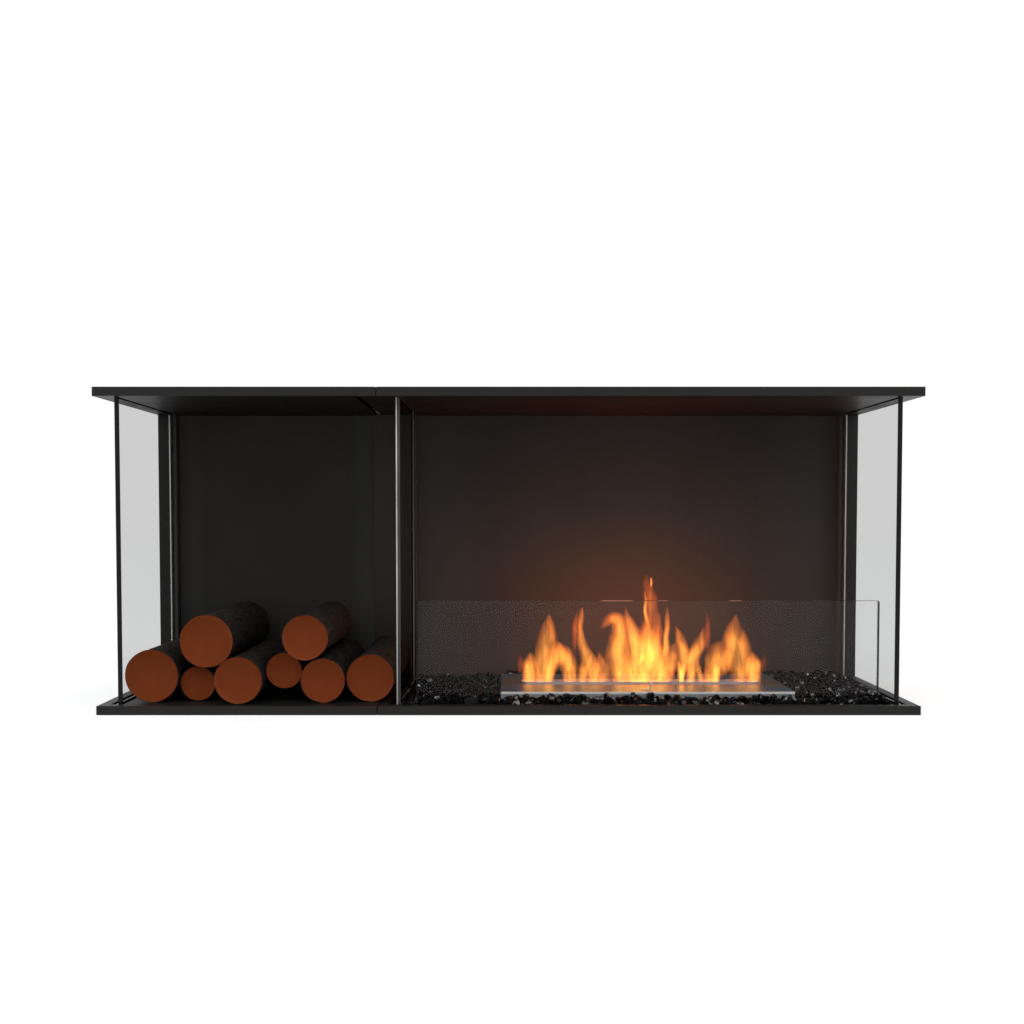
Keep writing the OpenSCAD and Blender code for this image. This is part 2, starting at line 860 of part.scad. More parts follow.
// Outline of the flame slot with round ends
module slot_outline(grow) {
    r = slot_w / 2 + grow;
    square([slot_l - slot_w, 2 * r], center = true);
    for (side = [-1, 1])
        translate([side * (slot_l - slot_w) / 2, 0])
            circle(r);
}

module burner_deck() {
    slit_w = tab_t + travel + 2 * slit_gap;
    color("#cfcac4")
        difference() {
            union() {
                at(burner_x - deck_w / 2, deck_setback, deck_top - skirt_h)
                    cube([deck_w, deck_d, skirt_h]);
                at(burner_x, slot_d, deck_z)
                    linear_extrude(height = deck_t + collar_h)
                        slot_outline(collar_t);
            }
            at(burner_x - deck_w / 2 + deck_t, deck_setback + deck_t, deck_top - skirt_h - cut)
                cube([deck_w - 2 * deck_t, deck_d - 2 * deck_t, skirt_h - deck_t + cut]);
            at(burner_x, slot_d, deck_z - cut)
                linear_extrude(height = deck_t + collar_h + 2 * cut)
                    slot_outline(0);
            at(tab_x + tab_t / 2 + slit_gap - slit_w, tab_front - slit_gap, deck_z - cut)
                cube([slit_w, tab_d + 2 * slit_gap, deck_t + 2 * cut]);
            for (p = concat(DECK_SCREWS, RIVETS))
                at(p[0], p[1], deck_z - cut)
                    rod(rivet_r + thread_gap, deck_t + 2 * cut, "z");
        }
}

// The row of windows that the slide and the baffle plate share
module windows(thickness) {
    for (i = [0 : window_n - 1])
        translate([-field_l / 2 + i * window_pitch, -window_d / 2, 0])
            cube([window_w, window_d, thickness]);
}

module baffle_plate() {
    color("#8d8b88")
        difference() {
            at(burner_x - guide_l / 2, slot_d - baffle_d / 2, baffle_z)
                cube([guide_l, baffle_d, slide_t]);
            at(burner_x, slot_d, baffle_z - cut)
                windows(slide_t + 2 * cut);
            for (p = RIVETS)
                at(p[0], p[1], baffle_z - cut)
                    rod(rivet_r + thread_gap, slide_t + 2 * cut, "z");
        }
}

// Rails beside the slide. The front one has a gap for the arm.
module guide_rails() {
    arm_right = tab_x + arm_w / 2;
    arm_room = arm_w + travel + 2 * slit_gap;
    color("#9a9894")
        difference() {
            for (front = [-guide_off - guide_w, guide_off])
                at(burner_x - guide_l / 2, slot_d + front, deck_z - guide_h)
                    cube([guide_l, guide_w, guide_h]);
            at(arm_right + slit_gap - arm_room, slot_d - guide_off - guide_w - cut, deck_z - guide_h - cut)
                cube([arm_room, guide_w + 2 * cut, guide_h + 2 * cut]);
            for (p = RIVETS)
                at(p[0], p[1], deck_z - guide_h - cut)
                    rod(rivet_r + thread_gap, guide_h + 2 * cut, "z");
        }
}

module guide_rivets() {
    color("#c9c5bf")
        for (p = RIVETS)
            at(p[0], p[1], 0)
                rotate_extrude()
                    polygon([
                        [0, baffle_z - rivet_head_h], [rivet_head_r, baffle_z - rivet_head_h],
                        [rivet_head_r, baffle_z], [rivet_r, baffle_z], [rivet_r, deck_top],
                        [rivet_head_r, deck_top], [rivet_r, deck_top + rivet_head_h],
                        [0, deck_top + rivet_head_h]
                    ]);
}

module deck_screws() {
    color("#c9c5bf")
        for (p = DECK_SCREWS)
            at(p[0], p[1], 0)
                rotate_extrude()
                    polygon([
                        [0, deck_z - tank_t - deck_screw_tip], [rivet_r, deck_z - tank_t - deck_screw_tip],
                        [rivet_r, deck_top], [rivet_head_r, deck_top],
                        [rivet_r, deck_top + rivet_head_h], [0, deck_top + rivet_head_h]
                    ]);
}

// Windowed slide with an arm under the deck and a tab that stands up through its slit
module regulator_slide() {
    arm_back = slot_d - slide_d / 2;
    color("#bdb8b0") {
        difference() {
            at(burner_x - slide_l / 2, arm_back, slide_z)
                cube([slide_l, slide_d, slide_t]);
            at(burner_x, slot_d, slide_z - cut)
                windows(slide_t + 2 * cut);
        }
        at(tab_x - arm_w / 2, tab_front, slide_z)
            cube([arm_w, arm_back + slide_t - tab_front, slide_t]);
        at(tab_x - tab_t / 2, tab_front, slide_z)
            cube([tab_t, tab_d, deck_top + tab_h - slide_z]);
    }
}

// Ceramic fibre that soaks up the fuel, from the tank's floor to the baffle plate
module wick_block() {
    bottom = floor_z + tank_t;
    color("#d8d2c4")
        at(burner_x - wick_l / 2, slot_d - wick_d / 2, bottom)
            cube([wick_l, wick_d, baffle_z - rivet_head_h - wick_gap - bottom]);
}

// Fasteners

module joining_bolts() {
    color("#77797b")
        for (z = BOLT_Z)
            at(LOG_BOX[1] - sheet_t - bolt_head_h, bolt_d, z)
                rotate([0, 90, 0]) {
                    cylinder(r = bolt_head_r, h = bolt_head_h, $fn = 6);
                    cylinder(r = bolt_r, h = bolt_head_h + 2 * sheet_t + seam + nut_h + bolt_tip);
                }
}

module joining_nuts() {
    color("#77797b")
        for (z = BOLT_Z)
            at(FIREBOX[0] + sheet_t, bolt_d, z)
                rotate([0, 90, 0])
                    difference() {
                        cylinder(r = bolt_head_r, h = nut_h, $fn = 6);
                        translate([0, 0, -cut])
                            cylinder(r = bolt_r + thread_gap, h = nut_h + 2 * cut);
                    }
}

module base_screws() {
    color("#77797b")
        for (x = concat(LOG_POSTS, FIRE_POSTS), d = SCREW_DEPTHS)
            at(x, d, lip_h - sheet_t)
                screw(screw_l, "z");
}

module top_screws() {
    color("#77797b")
        for (x = concat(LOG_POSTS, FIRE_POSTS), d = SCREW_DEPTHS)
            at(x, d, soffit_z - sheet_t)
                screw(screw_l, "z");
}

module panel_screws() {
    color("#77797b")
        for (z = PANEL_Z) {
            for (x = [LOG_BOX[0] + post_w, FIREBOX[0] + post_w])
                at(x + fold_gap + sheet_t, panel_screw_d, z)
                    screw(panel_screw_l, "x", true);
            for (x = [LOG_BOX[1] - blank_post_w, FIREBOX[1] - post_w])
                at(x - fold_gap - sheet_t, panel_screw_d, z)
                    screw(panel_screw_l, "x");
        }
}

module skin_screws() {
    xs = concat(skin_screw_xs(LOG_BOX, post_w, blank_post_w), skin_screw_xs(FIREBOX, post_w, post_w));
    color("#77797b")
        for (x = xs, z = SKIN_Z)
            at(x, skin_d + sheet_t, z)
                screw(screw_l, "y", true);
}

// Logs

// Middle of a log on the floor, beside another on its left (side 1) or on its right (side -1)
function beside(a, r, side, room = 0) =
    [a[0] + side * (2 * sqrt(a[2] * r) + log_gap + room), lip_h + log_gap + r, r];

// Middle of a log that rests on two others
function rest_on(a, b, r) =
    let (
        ra = a[2] + r + log_gap,
        rb = b[2] + r + log_gap,
        dx = b[0] - a[0],
        dz = b[1] - a[1],
        span = sqrt(dx * dx + dz * dz),
        along = (ra * ra - rb * rb + span * span) / (2 * span),
        up = sqrt(max(0, ra * ra - along * along))
    )
    [a[0] + (along * dx - up * dz) / span, a[1] + (along * dz + up * dx) / span, r];

// Whether a log fits on the floor between two others
function fits(a, b, r) = b[0] - a[0] > 2 * sqrt(r) * (sqrt(a[2]) + sqrt(b[2])) + 2 * log_gap;

log_len = bay_d - log_slack;
first_log_x = log_glass_x + glass_t + log_gap + log_1_r;
last_log_x = divider_x - channel_side - log_8_room - log_8_r;
LOG_1 = [first_log_x, lip_h + log_gap + log_1_r, log_1_r];
LOG_3 = beside(LOG_1, log_3_r, 1);
LOG_4 = beside(LOG_3, log_4_r, 1, log_3_4_room);
LOG_8 = [last_log_x, lip_h + log_gap + log_8_r, log_8_r];
LOG_6 = beside(LOG_8, log_6_r, -1);
LOG_5 = fits(LOG_4, LOG_6, log_5_r) ? beside(LOG_6, log_5_r, -1) : rest_on(LOG_4, LOG_6, log_5_r);
LOG_2 = rest_on(LOG_3, LOG_4, log_2_r);
LOG_7 = rest_on(LOG_5, LOG_6, log_7_r);

// A round log with bevelled ends, given as [x, z, radius]
module log(place, front) {
    r = place[2];
    color("#6b311b")
        at(place[0], front, place[1])
            rotate([-90, 0, 0])
                rotate_extrude($fn = 72)
                    polygon([
                        [0, 0], [r - log_bevel, 0], [r, log_bevel], [r, log_len - log_bevel],
                        [r - log_bevel, log_len], [0, log_len]
                    ]);
}

module log_1() { log(LOG_1, log_1_front); }
module log_2() { log(LOG_2, log_2_front); }
module log_3() { log(LOG_3, log_3_front); }
module log_4() { log(LOG_4, log_4_front); }
module log_5() { log(LOG_5, log_5_front); }
module log_6() { log(LOG_6, log_6_front); }
module log_7() { log(LOG_7, log_7_front); }
module log_8() { log(LOG_8, log_8_front); }

// Glass stones

// One broken stone: a five-sided foot, a wider waist and an off-centre peak
module stone(r, h, seed) {
    s = rands(0, 1, 13, seed);
    sides = 5;
    foot = [
        for (i = [0 : sides - 1])
            let (a = 72 * i + 30 * s[i], k = r * (0.5 + 0.25 * s[i]))
                [k * cos(a), k * sin(a), 0]
    ];
    waist = [
        for (i = [0 : sides - 1])
            let (a = 72 * i + 20 + 30 * s[i + 5], k = r * (0.78 + 0.22 * s[i + 5]))
                [k * cos(a), k * sin(a), h * (0.4 + 0.25 * s[i])]
    ];
    peak = [r * 0.5 * (s[10] - 0.5), r * 0.5 * (s[11] - 0.5), h];
    polyhedron(
        points = concat(foot, waist, [peak]),
        faces = concat(
            [[0, 1, 2], [0, 2, 3], [0, 3, 4]],
            [for (i = [0 : sides - 1]) [i, i + sides, (i + 1) % sides]],
            [for (i = [0 : sides - 1]) [(i + 1) % sides, i + sides, (i + 1) % sides + sides]],
            [for (i = [0 : sides - 1]) [i + sides, 2 * sides, (i + 1) % sides + sides]]
        )
    );
}

// The bed that the stones fill, inside the rim and the floor channels
bed_x0 = divider_x + glass_t + channel_side + stone_room / 2;
bed_x1 = right_glass_x - channel_side - stone_room / 2;
bed_d0 = rim_w + stone_room / 2;
bed_d1 = bay_d - stone_room / 2;
deck_x0 = burner_x - deck_w / 2 - stone_room;
deck_x1 = burner_x + deck_w / 2 + stone_room;
deck_back = deck_setback + deck_d + stone_room;

// Stones of one block of the bed, in rows and columns that fill it evenly
module stone_block(x0, x1, d0, d1, seed) {
    pitch = min(stone_pitch, d1 - d0);
    columns = max(1, floor((x1 - x0) / pitch));
    rows = max(1, floor((d1 - d0) / pitch));
    cell_w = (x1 - x0) / columns;
    cell_d = (d1 - d0) / rows;
    for (i = [0 : columns - 1], j = [0 : rows - 1]) {
        own = seed + 31 * i + 101 * j;
        luck = rands(0, 1, 2, own);
        at(x0 + cell_w * (i + 0.5), d0 + cell_d * (j + 0.5), floor_z)
            rotate([0, 0, 360 * luck[0]])
                stone((pitch - stone_room) / 2, stone_low + (stone_high - stone_low) * luck[1], own);
    }
}

// A row of stones beside the windscreen, which is narrower at the feet
module stone_row(from_d, to_d, foot_from_d, foot_to_d, seed) {
    half = foot_l / 2 + stone_room;
    edges = concat(bed_x0, [for (x = FOOT_X, side = [-1, 1]) x + side * half], bed_x1);
    for (i = [0 : len(edges) - 2])
        if (i % 2 == 0)
            stone_block(edges[i], edges[i + 1], from_d, to_d, seed + 50 * i);
        else
            stone_block(edges[i], edges[i + 1], foot_from_d, foot_to_d, seed + 50 * i);
}

module stones_front() {
    half = foot_base_w / 2 + stone_room / 2;
    screen_front = screen_setback - stone_room / 2;
    screen_back = screen_setback + screen_t + stone_room / 2;
    row_end = deck_setback - stone_room / 2;
    color("#0d0d0f") {
        stone_row(bed_d0, screen_front, bed_d0, screen_mid_d - half, stone_seed);
        stone_row(screen_back, row_end, screen_mid_d + half, row_end, stone_seed + 500);
    }
}

module stones_left() {
    color("#0d0d0f") stone_block(bed_x0, deck_x0, deck_setback, bed_d1, stone_seed + 900);
}

module stones_right() {
    color("#0d0d0f") stone_block(deck_x1, bed_x1, deck_setback, bed_d1, stone_seed + 1700);
}

module stones_back() {
    color("#0d0d0f") stone_block(deck_x0, deck_x1, deck_back, bed_d1, stone_seed + 2500);
}

log_box_tray();
log_box_pads();
log_box_floor();
log_box_left_post();
log_box_right_post();
log_box_back_panel();
log_box_rear_skin();
log_box_soffit();
log_box_top_pan();
log_box_top_rails();
firebox_tray();
firebox_pads();
firebox_left_post();
firebox_right_post();
firebox_back_panel();
firebox_rear_skin();
firebox_soffit();
firebox_top_pan();
firebox_top_rails();
firebox_insulation();
log_box_glass();
divider_glass();
right_glass();
floor_channels();
post_channels();
setting_blocks();
glass_gaskets();
windscreen();
windscreen_feet();
windscreen_liners();
burner_cradle();
burner_tank();
burner_deck();
baffle_plate();
guide_rails();
guide_rivets();
deck_screws();
regulator_slide();
wick_block();
joining_bolts();
joining_nuts();
base_screws();
top_screws();
panel_screws();
skin_screws();
log_1();
log_2();
log_3();
log_4();
log_5();
log_6();
log_7();
log_8();
stones_front();
stones_left();
stones_right();
stones_back();
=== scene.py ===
"""Looks of a bioethanol fireplace insert: log box, glass firebox, burner, stones and flames."""

import itertools
import logging
import math
import random
from collections.abc import Callable
from dataclasses import dataclass
from enum import Enum
from functools import cached_property

import bpy
from mathutils import Euler, Matrix, Vector, noise


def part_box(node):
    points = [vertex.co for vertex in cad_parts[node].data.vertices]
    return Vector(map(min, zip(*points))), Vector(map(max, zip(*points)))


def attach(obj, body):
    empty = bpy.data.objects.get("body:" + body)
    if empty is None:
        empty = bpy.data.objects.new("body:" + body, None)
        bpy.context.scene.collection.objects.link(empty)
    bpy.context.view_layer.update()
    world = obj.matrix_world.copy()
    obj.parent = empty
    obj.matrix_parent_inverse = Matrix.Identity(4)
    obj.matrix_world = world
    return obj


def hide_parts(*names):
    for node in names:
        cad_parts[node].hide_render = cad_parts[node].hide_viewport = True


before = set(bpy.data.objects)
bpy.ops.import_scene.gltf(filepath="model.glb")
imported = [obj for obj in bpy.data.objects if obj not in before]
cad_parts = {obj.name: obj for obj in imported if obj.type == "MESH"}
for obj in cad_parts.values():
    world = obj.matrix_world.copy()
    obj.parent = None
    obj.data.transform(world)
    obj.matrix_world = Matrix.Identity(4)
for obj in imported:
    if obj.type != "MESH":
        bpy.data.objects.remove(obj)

LOG = logging.getLogger("fireplace")
MM = 0.001
HALF_DEPTH = 225.0
Pair = tuple[float, float]
Triple = tuple[float, float, float]
Colour = Triple
Socket = bpy.types.NodeSocket
Piece = bpy.types.Object


def place(x: float, depth: float, z: float) -> Vector:
    """Turn millimetres from the middle, the front lip and the ground into a point."""
    return Vector((x, depth - HALF_DEPTH, z)) * MM


def scaled(colour: Colour, *factors: float) -> Colour:
    """Multiply a colour by one factor, or by one for each channel."""
    return tuple(c * k for c, k in zip(colour, factors if len(factors) == 3 else factors * 3))


def configure(thing: object, **settings: object) -> object:
    """Set properties of a thing and return it."""
    for key, value in settings.items():
        setattr(thing, key, value)
    return thing


def clear_selection() -> None:
    """Leave edit mode and deselect every object."""
    if bpy.context.object and bpy.context.object.mode != "OBJECT":
        bpy.ops.object.mode_set(mode="OBJECT")
    bpy.ops.object.select_all(action="DESELECT")


def pick(piece: Piece) -> None:
    """Make a piece the only one selected and the active one."""
    clear_selection()
    piece.select_set(True)
    bpy.context.view_layer.objects.active = piece


def added(name: str) -> Piece:
    """Name the primitive that was just added and put its place into its mesh."""
    bpy.ops.object.transform_apply(location=True, rotation=True, scale=True)
    return renamed(name)


def renamed(name: str) -> Piece:
    """Name the active piece and its mesh."""
    bpy.context.object.data.name = name
    return configure(bpy.context.object, name=name)


def choose(piece: Piece, kind: str, wanted: Callable[[float], bool]) -> None:
    """Select faces or edges by how far they run from front to back, and stay in edit mode.

    Args:
        piece: The piece that they belong to.
        kind: FACE or EDGE.
        wanted: A test that takes that distance.
    """
    pick(piece)
    bpy.ops.object.mode_set(mode="EDIT")
    bpy.ops.mesh.select_mode(type=kind)
    bpy.ops.mesh.select_all(action="DESELECT")
    bpy.ops.object.mode_set(mode="OBJECT")
    points = piece.data.vertices
    for item in piece.data.polygons if kind == "FACE" else piece.data.edges:
        depths = [points[index].co.y for index in item.vertices]
        item.select = wanted(max(depths) - min(depths))
    bpy.ops.object.mode_set(mode="EDIT")


def apply_all(piece: Piece) -> None:
    """Apply every modifier of a piece in order."""
    pick(piece)
    for modifier in list(piece.modifiers):
        bpy.ops.object.modifier_apply(modifier=modifier.name)


def join_all(pieces: list[Piece], name: str) -> Piece:
    """Join pieces into one.

    Args:
        pieces: The pieces, of which the first takes in the others.
        name: The name of the joined piece.

    Returns:
        The joined piece, without materials.
    """
    pick(pieces[0])
    for piece in pieces:
        piece.select_set(True)
    bpy.ops.object.join()
    joined = renamed(name)
    joined.data.materials.clear()
    return joined


def put(name: str, data: bpy.types.ID) -> Piece:
    """Add an object to the scene."""
    piece = bpy.data.objects.new(name, data)
    bpy.context.scene.collection.objects.link(piece)
    return piece


def hang_lamp(name: str, kind: str, spot: Vector, **settings: object) -> Piece:
    """Hang a POINT or AREA lamp that isn't seen in reflections."""
    data = configure(bpy.data.lights.new(name, kind), **settings)
    return configure(put(name, data), location=spot, visible_glossy=False)


class Recipe:
    """The nodes of a material or of the world, laid out one by one."""

    def __init__(self, owner: bpy.types.Material | bpy.types.World) -> None:
        """Start without nodes.

        Args:
            owner: What they belong to.
        """
        owner.use_nodes = True
        self.owner = owner
        self.tree = owner.node_tree
        self.tree.nodes.clear()

    def node(self, kind: str, feeds: dict[str | int, object] | None = None, **settings: object
             ) -> bpy.types.Node:
        """Add one node.

        Args:
            kind: Its type, without ShaderNode.
            feeds: What goes into its inputs: outputs, plain colours, vectors or numbers, or None.
            settings: Its properties and their values.

        Returns:
            The new node.
        """
        made = configure(self.tree.nodes.new(f"ShaderNode{kind}"), **settings)
        for key, value in (feeds or {}).items():
            target = made.inputs[key]
            if isinstance(value, Socket):
                self.tree.links.new(value, target)
            elif value is not None:
                target.default_value = (*value, 1.0) if target.type == "RGBA" else value
        return made

    def finish(self, shader: Socket) -> bpy.types.Material | bpy.types.World:
        """Send a shader to the output and return the owner."""
        kind = "OutputWorld" if isinstance(self.owner, bpy.types.World) else "OutputMaterial"
        self.node(kind, {"Surface": shader})
        return self.owner

    @cached_property
    def where(self) -> Socket:
        """The piece's own coordinates."""
        return self.coordinates()

    @cached_property
    def axes(self) -> bpy.types.NodeOutputs:
        """Each of the piece's own coordinates by itself."""
        return self.split(self.where)

    def coordinates(self, centre: Vector = Vector(), stretch: Triple = (1, 1, 1)) -> Socket:
        """Give the piece's own coordinates, moved to a centre and then stretched.

        Args:
            centre: The point that becomes the pattern's origin.
            stretch: How much finer the pattern is along each axis.

        Returns:
            The vector output.
        """
        shift = [-c * s for c, s in zip(centre, stretch)]
        own = self.node("TexCoord").outputs["Object"]
        return self.node("Mapping", {"Vector": own, "Location": shift, "Scale": stretch}).outputs["Vector"]

    def split(self, vector: Socket) -> bpy.types.NodeOutputs:
        """Split a vector into its three numbers."""
        return self.node("SeparateXYZ", {"Vector": vector}).outputs

    def distance(self, centre: Vector, stretch: Triple) -> Socket:
        """Measure the distance from a centre in stretched space."""
        offset = self.coordinates(centre, stretch)
        return self.node("VectorMath", {0: offset}, operation="LENGTH").outputs["Value"]

    def sideways(self, middle: float) -> Socket:
        """Measure the distance to the left or right of a middle."""
        return self.calc(self.calc(self.axes[0], middle, "SUBTRACT"), 0.0, "ABSOLUTE")

    def noise(self, where: Socket, scale: float, detail: float = 3.0, twist: float = 0.0) -> Socket:
        """Add a cloudy noise with so many lumps to the metre and so many finer layers."""
        feeds = {"Vector": where, "Scale": scale, "Detail": detail, "Distortion": twist}
        return self.node("TexNoise", feeds).outputs["Fac"]

    def span(self, value: Socket, low: float, high: float, to_low: float, to_high: float) -> Socket:
        """Map the numbers from low to high to those from to_low to to_high, clamped."""
        feeds = {"Value": value, "From Min": low, "From Max": high, "To Min": to_low, "To Max": to_high}
        return self.node("MapRange", feeds).outputs["Result"]

    def ramp(self, value: Socket, *stops: tuple[float, Colour]) -> Socket:
        """Turn a number into a colour.

        Args:
            value: The number from 0 to 1.
            stops: The colour at each number.

        Returns:
            The colour.
        """
        made = self.node("ValToRGB", {"Fac": value})
        elements = made.color_ramp.elements
        while len(elements) < len(stops):
            elements.new(0.5)
        for element, (position, colour) in zip(elements, stops):
            configure(element, position=position, color=(*colour, 1.0))
        return made.outputs["Color"]

    def blend(self, factor: object, first: object, second: object, mode: str = "MIX") -> Socket:
        """Mix two colours by how much of the second shows."""
        feeds = {0: factor, 6: first, 7: second}
        return self.node("Mix", feeds, data_type="RGBA", blend_type=mode).outputs[2]

    def calc(self, first: Socket, second: object, operation: str = "ADD") -> Socket:
        """Work out one number from two."""
        return self.node("Math", {0: first, 1: second}, operation=operation).outputs[0]

    def times(self, first: Socket, second: object) -> Socket:
        """Multiply two numbers."""
        return self.calc(first, second, "MULTIPLY")

    def cross(self, factor: object, first: Socket, second: Socket) -> Socket:
        """Mix two shaders by how much of the second shows."""
        return self.node("MixShader", {0: factor, 1: first, 2: second}).outputs["Shader"]

    def both(self, first: Socket, second: Socket) -> Socket:
        """Add the light of two shaders."""
        return self.node("AddShader", {0: first, 1: second}).outputs["Shader"]

    def bump(self, height: Socket, distance: float, strength: float = 1.0, under: Socket | None = None
             ) -> Socket:
        """Roughen the surface to a depth in metres, over another bump if one is given."""
        feeds = {"Height": height, "Distance": distance, "Strength": strength, "Normal": under}
        return self.node("Bump", feeds).outputs["Normal"]

    def surface(self, colour: object, roughness: object, normal: Socket | None = None, shine: object = 0.5,
                **others: object) -> Socket:
        """Add the main shader, whose inputs take outputs, plain colours or numbers."""
        feeds = {"Base Color": colour, "Roughness": roughness, "Normal": normal, "Specular IOR Level": shine}
        return self.node("BsdfPrincipled", feeds | others).outputs["BSDF"]

    def seen(self) -> Socket:
        """Give 1 for camera, glossy and transmission rays and 0 for all others."""
        path = self.node("LightPath").outputs
        direct = self.calc(path["Is Camera Ray"], path["Is Glossy Ray"], "MAXIMUM")
        return self.calc(direct, path["Is Transmission Ray"], "MAXIMUM")


@dataclass(frozen=True)
class Finish:
    """What a surface looks like."""

    name: str

    def make(self) -> bpy.types.Material:
        """Build the material."""
        r = Recipe(bpy.data.materials.new(self.name))
        return r.finish(self.shader(r))

    def shader(self, r: Recipe) -> Socket:
        """Lay out the shader.

        Args:
            r: The recipe of the material.

        Returns:
            The shader.
        """
        raise NotImplementedError


@dataclass(frozen=True)
class PowderCoat(Finish):
    """Baked powder on steel: a fine orange peel with faint cloudy patches."""

    colour: Colour
    roughness: float = 0.5
    peel: float = 650.0
    depth: float = 0.00005
    shine: float = 0.25

    def shader(self, r: Recipe) -> Socket:
        """Lay out the shader."""
        patches = r.noise(r.where, 9.0)
        colour = r.ramp(patches, (0.3, scaled(self.colour, 0.96)), (0.7, scaled(self.colour, 1.05)))
        rough = r.span(patches, 0.3, 0.7, self.roughness - 0.02, self.roughness + 0.02)
        return r.surface(colour, rough, r.bump(r.noise(r.where, self.peel, 2.0), self.depth, 0.5), self.shine)


@dataclass(frozen=True)
class HeatPaint(Finish):
    """Matt heat-proof paint, with painted light: a painted glow round a centre and painted lighter strips at
    the left and right of its sheet.
    """

    colour: Colour
    painted_light: Colour
    centre: Vector
    reach: float
    roughness: float = 0.68
    shine: float = 0.2
    sheet: str = ""
    painted_side_light: Colour = (0.05, 0.0485, 0.047)
    band: float = 0.05

    def shader(self, r: Recipe) -> Socket:
        """Lay out the shader."""
        cloud = r.noise(r.where, 5.0, 4.0)
        away = r.calc(r.distance(self.centre, (0.6, 1.0, 1.0)), r.span(cloud, 0.2, 0.8, -0.06, 0.06))
        # painted light: the colour turns towards its second colour round the centre, a painted glow
        painted_glow_mask = r.span(away, 0.02, self.reach, 1.0, 0.0)
        specks = r.span(r.noise(r.where, 420.0, 2.0), 0.35, 0.7, 0.0, 1.0)
        plain, speckled = (r.blend(painted_glow_mask, scaled(self.colour, k), self.painted_light) for k in (1.0, 1.35))
        colour = r.blend(specks, plain, speckled)
        # painted light: lighter strips along the left and right of the sheet
        if self.sheet:
            low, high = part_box(self.sheet)
            half = (high.x - low.x) / 2
            sides = r.span(r.sideways((low.x + high.x) / 2), half - self.band, half, 0.0, 1.0)
            colour = r.blend(sides, colour, self.painted_side_light)
        rough = r.span(cloud, 0.3, 0.7, self.roughness - 0.07, self.roughness + 0.07)
        return r.surface(colour, rough, r.bump(r.noise(r.where, 900.0, 2.0), 0.00004, 0.5), self.shine)


class Brush(Enum):
    """The direction that a steel surface was brushed in, as a stretch of the noise."""

    ALONG_X = (6.0, 900.0, 900.0)
    ALONG_Y = (900.0, 6.0, 900.0)
    NONE = (160.0, 160.0, 160.0)


@dataclass(frozen=True)
class SatinSteel(Finish):
    """Brushed steel with faint smudges."""

    colour: Colour
    roughness: float
    brush: Brush

    def shader(self, r: Recipe) -> Socket:
        """Lay out the shader."""
        return r.surface(*self.brushed(r), Metallic=1.0)

    def brushed(self, r: Recipe) -> tuple[Socket, Socket, Socket]:
        """Lay out the streaks of the brush.

        Args:
            r: The recipe of the material.

        Returns:
            The colour, the roughness and the bent normal.
        """
        streaks = r.noise(r.coordinates(stretch=self.brush.value), 1.0)
        mixed = r.calc(r.times(streaks, 0.6), r.times(self.smudges(r), 0.4))
        colour = r.ramp(mixed, (0.3, scaled(self.colour, 0.82)), (0.7, self.colour))
        rough = r.span(streaks, 0.25, 0.75, self.roughness - 0.07, self.roughness + 0.09)
        return colour, rough, r.bump(streaks, 0.00003, 0.6)

    @staticmethod
    def smudges(r: Recipe) -> Socket:
        """Lay out the smudges."""
        return r.noise(r.where, 26.0)


@dataclass(frozen=True)
class DeckSteel(SatinSteel):
    """The burner's deck: straw and blue heat tint round its slot, mixed with a painted reflection of the
    flames, and a matt sandblasted front skirt with a painted highlight along its top bend.
    """

    metal: float = 0.98
    skirt: Colour = (0.2, 0.215, 0.225)
    # painted highlight on the skirt's top bend
    bend_highlight: Colour = (0.72, 0.69, 0.66)
    bend_highlight_heights: Pair = (0.0225, 0.0245)
    reach: Pair = (0.015, 0.095)
    # heat tint round the slot, mixed with a painted reflection of the flames
    heat_tint_and_flame_light: tuple[tuple[float, Colour], ...] = (
        (0.0, (0.95, 0.71, 0.43)), (0.2, (0.93, 0.74, 0.5)), (0.36, (1.0, 0.8, 0.5)),
        (0.6, (0.86, 0.93, 0.76)), (0.8, (0.7, 0.98, 0.88)), (1.0, (0.72, 0.96, 0.8)))

    def shader(self, r: Recipe) -> Socket:
        """Lay out the shader."""
        low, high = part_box("burner_deck")
        colour, rough, normal = self.brushed(r)
        uneven = r.span(self.smudges(r), 0.2, 0.8, -0.008, 0.008)
        away = r.calc(r.distance((low + high) / 2, (0.09, 1.0, 1.0)), uneven)
        tint = r.ramp(r.span(away, *self.reach, 0.0, 1.0), *self.heat_tint_and_flame_light)
        front = r.calc(r.axes[1], low.y + 0.6 * MM, "LESS_THAN")
        # painted highlight along the top bend of the skirt
        skirt_with_highlight = r.blend(r.span(r.axes[2], *self.bend_highlight_heights, 0.0, 1.0), self.skirt, self.bend_highlight)
        shade = r.blend(front, r.blend(1.0, colour, tint, "MULTIPLY"), skirt_with_highlight)
        return r.surface(shade, rough, normal, Metallic=r.span(front, 0.0, 1.0, self.metal, 0.0))


@dataclass(frozen=True)
class MattFill(Finish):
    """A dull, slightly lumpy stuff: rubber, fibre board or ceramic wool."""

    colour: Colour
    scale: float
    depth: float
    roughness: float = 0.9
    contrast: float = 0.15

    def shader(self, r: Recipe) -> Socket:
        """Lay out the shader."""
        lumps = r.noise(r.where, self.scale, 5.0)
        low, high = (scaled(self.colour, 1 + change) for change in (-self.contrast, self.contrast))
        colour = r.ramp(lumps, (0.35, low), (0.65, high))
        return r.surface(colour, self.roughness, r.bump(lumps, self.depth, 0.7), 0.25)


EDGE_SHADE: Colour = (0.0078, 0.0079, 0.0073)
# painted light on the rear edges of the glass
HEEL_PAINTED_LIGHT: Colour = (0.2, 0.188, 0.175)
# glazing tape, made lighter as painted light
TAPE_AND_PAINTED_LIGHT: Colour = (0.15, 0.143, 0.137)
WHITE: Colour = (1.0, 1.0, 1.0)


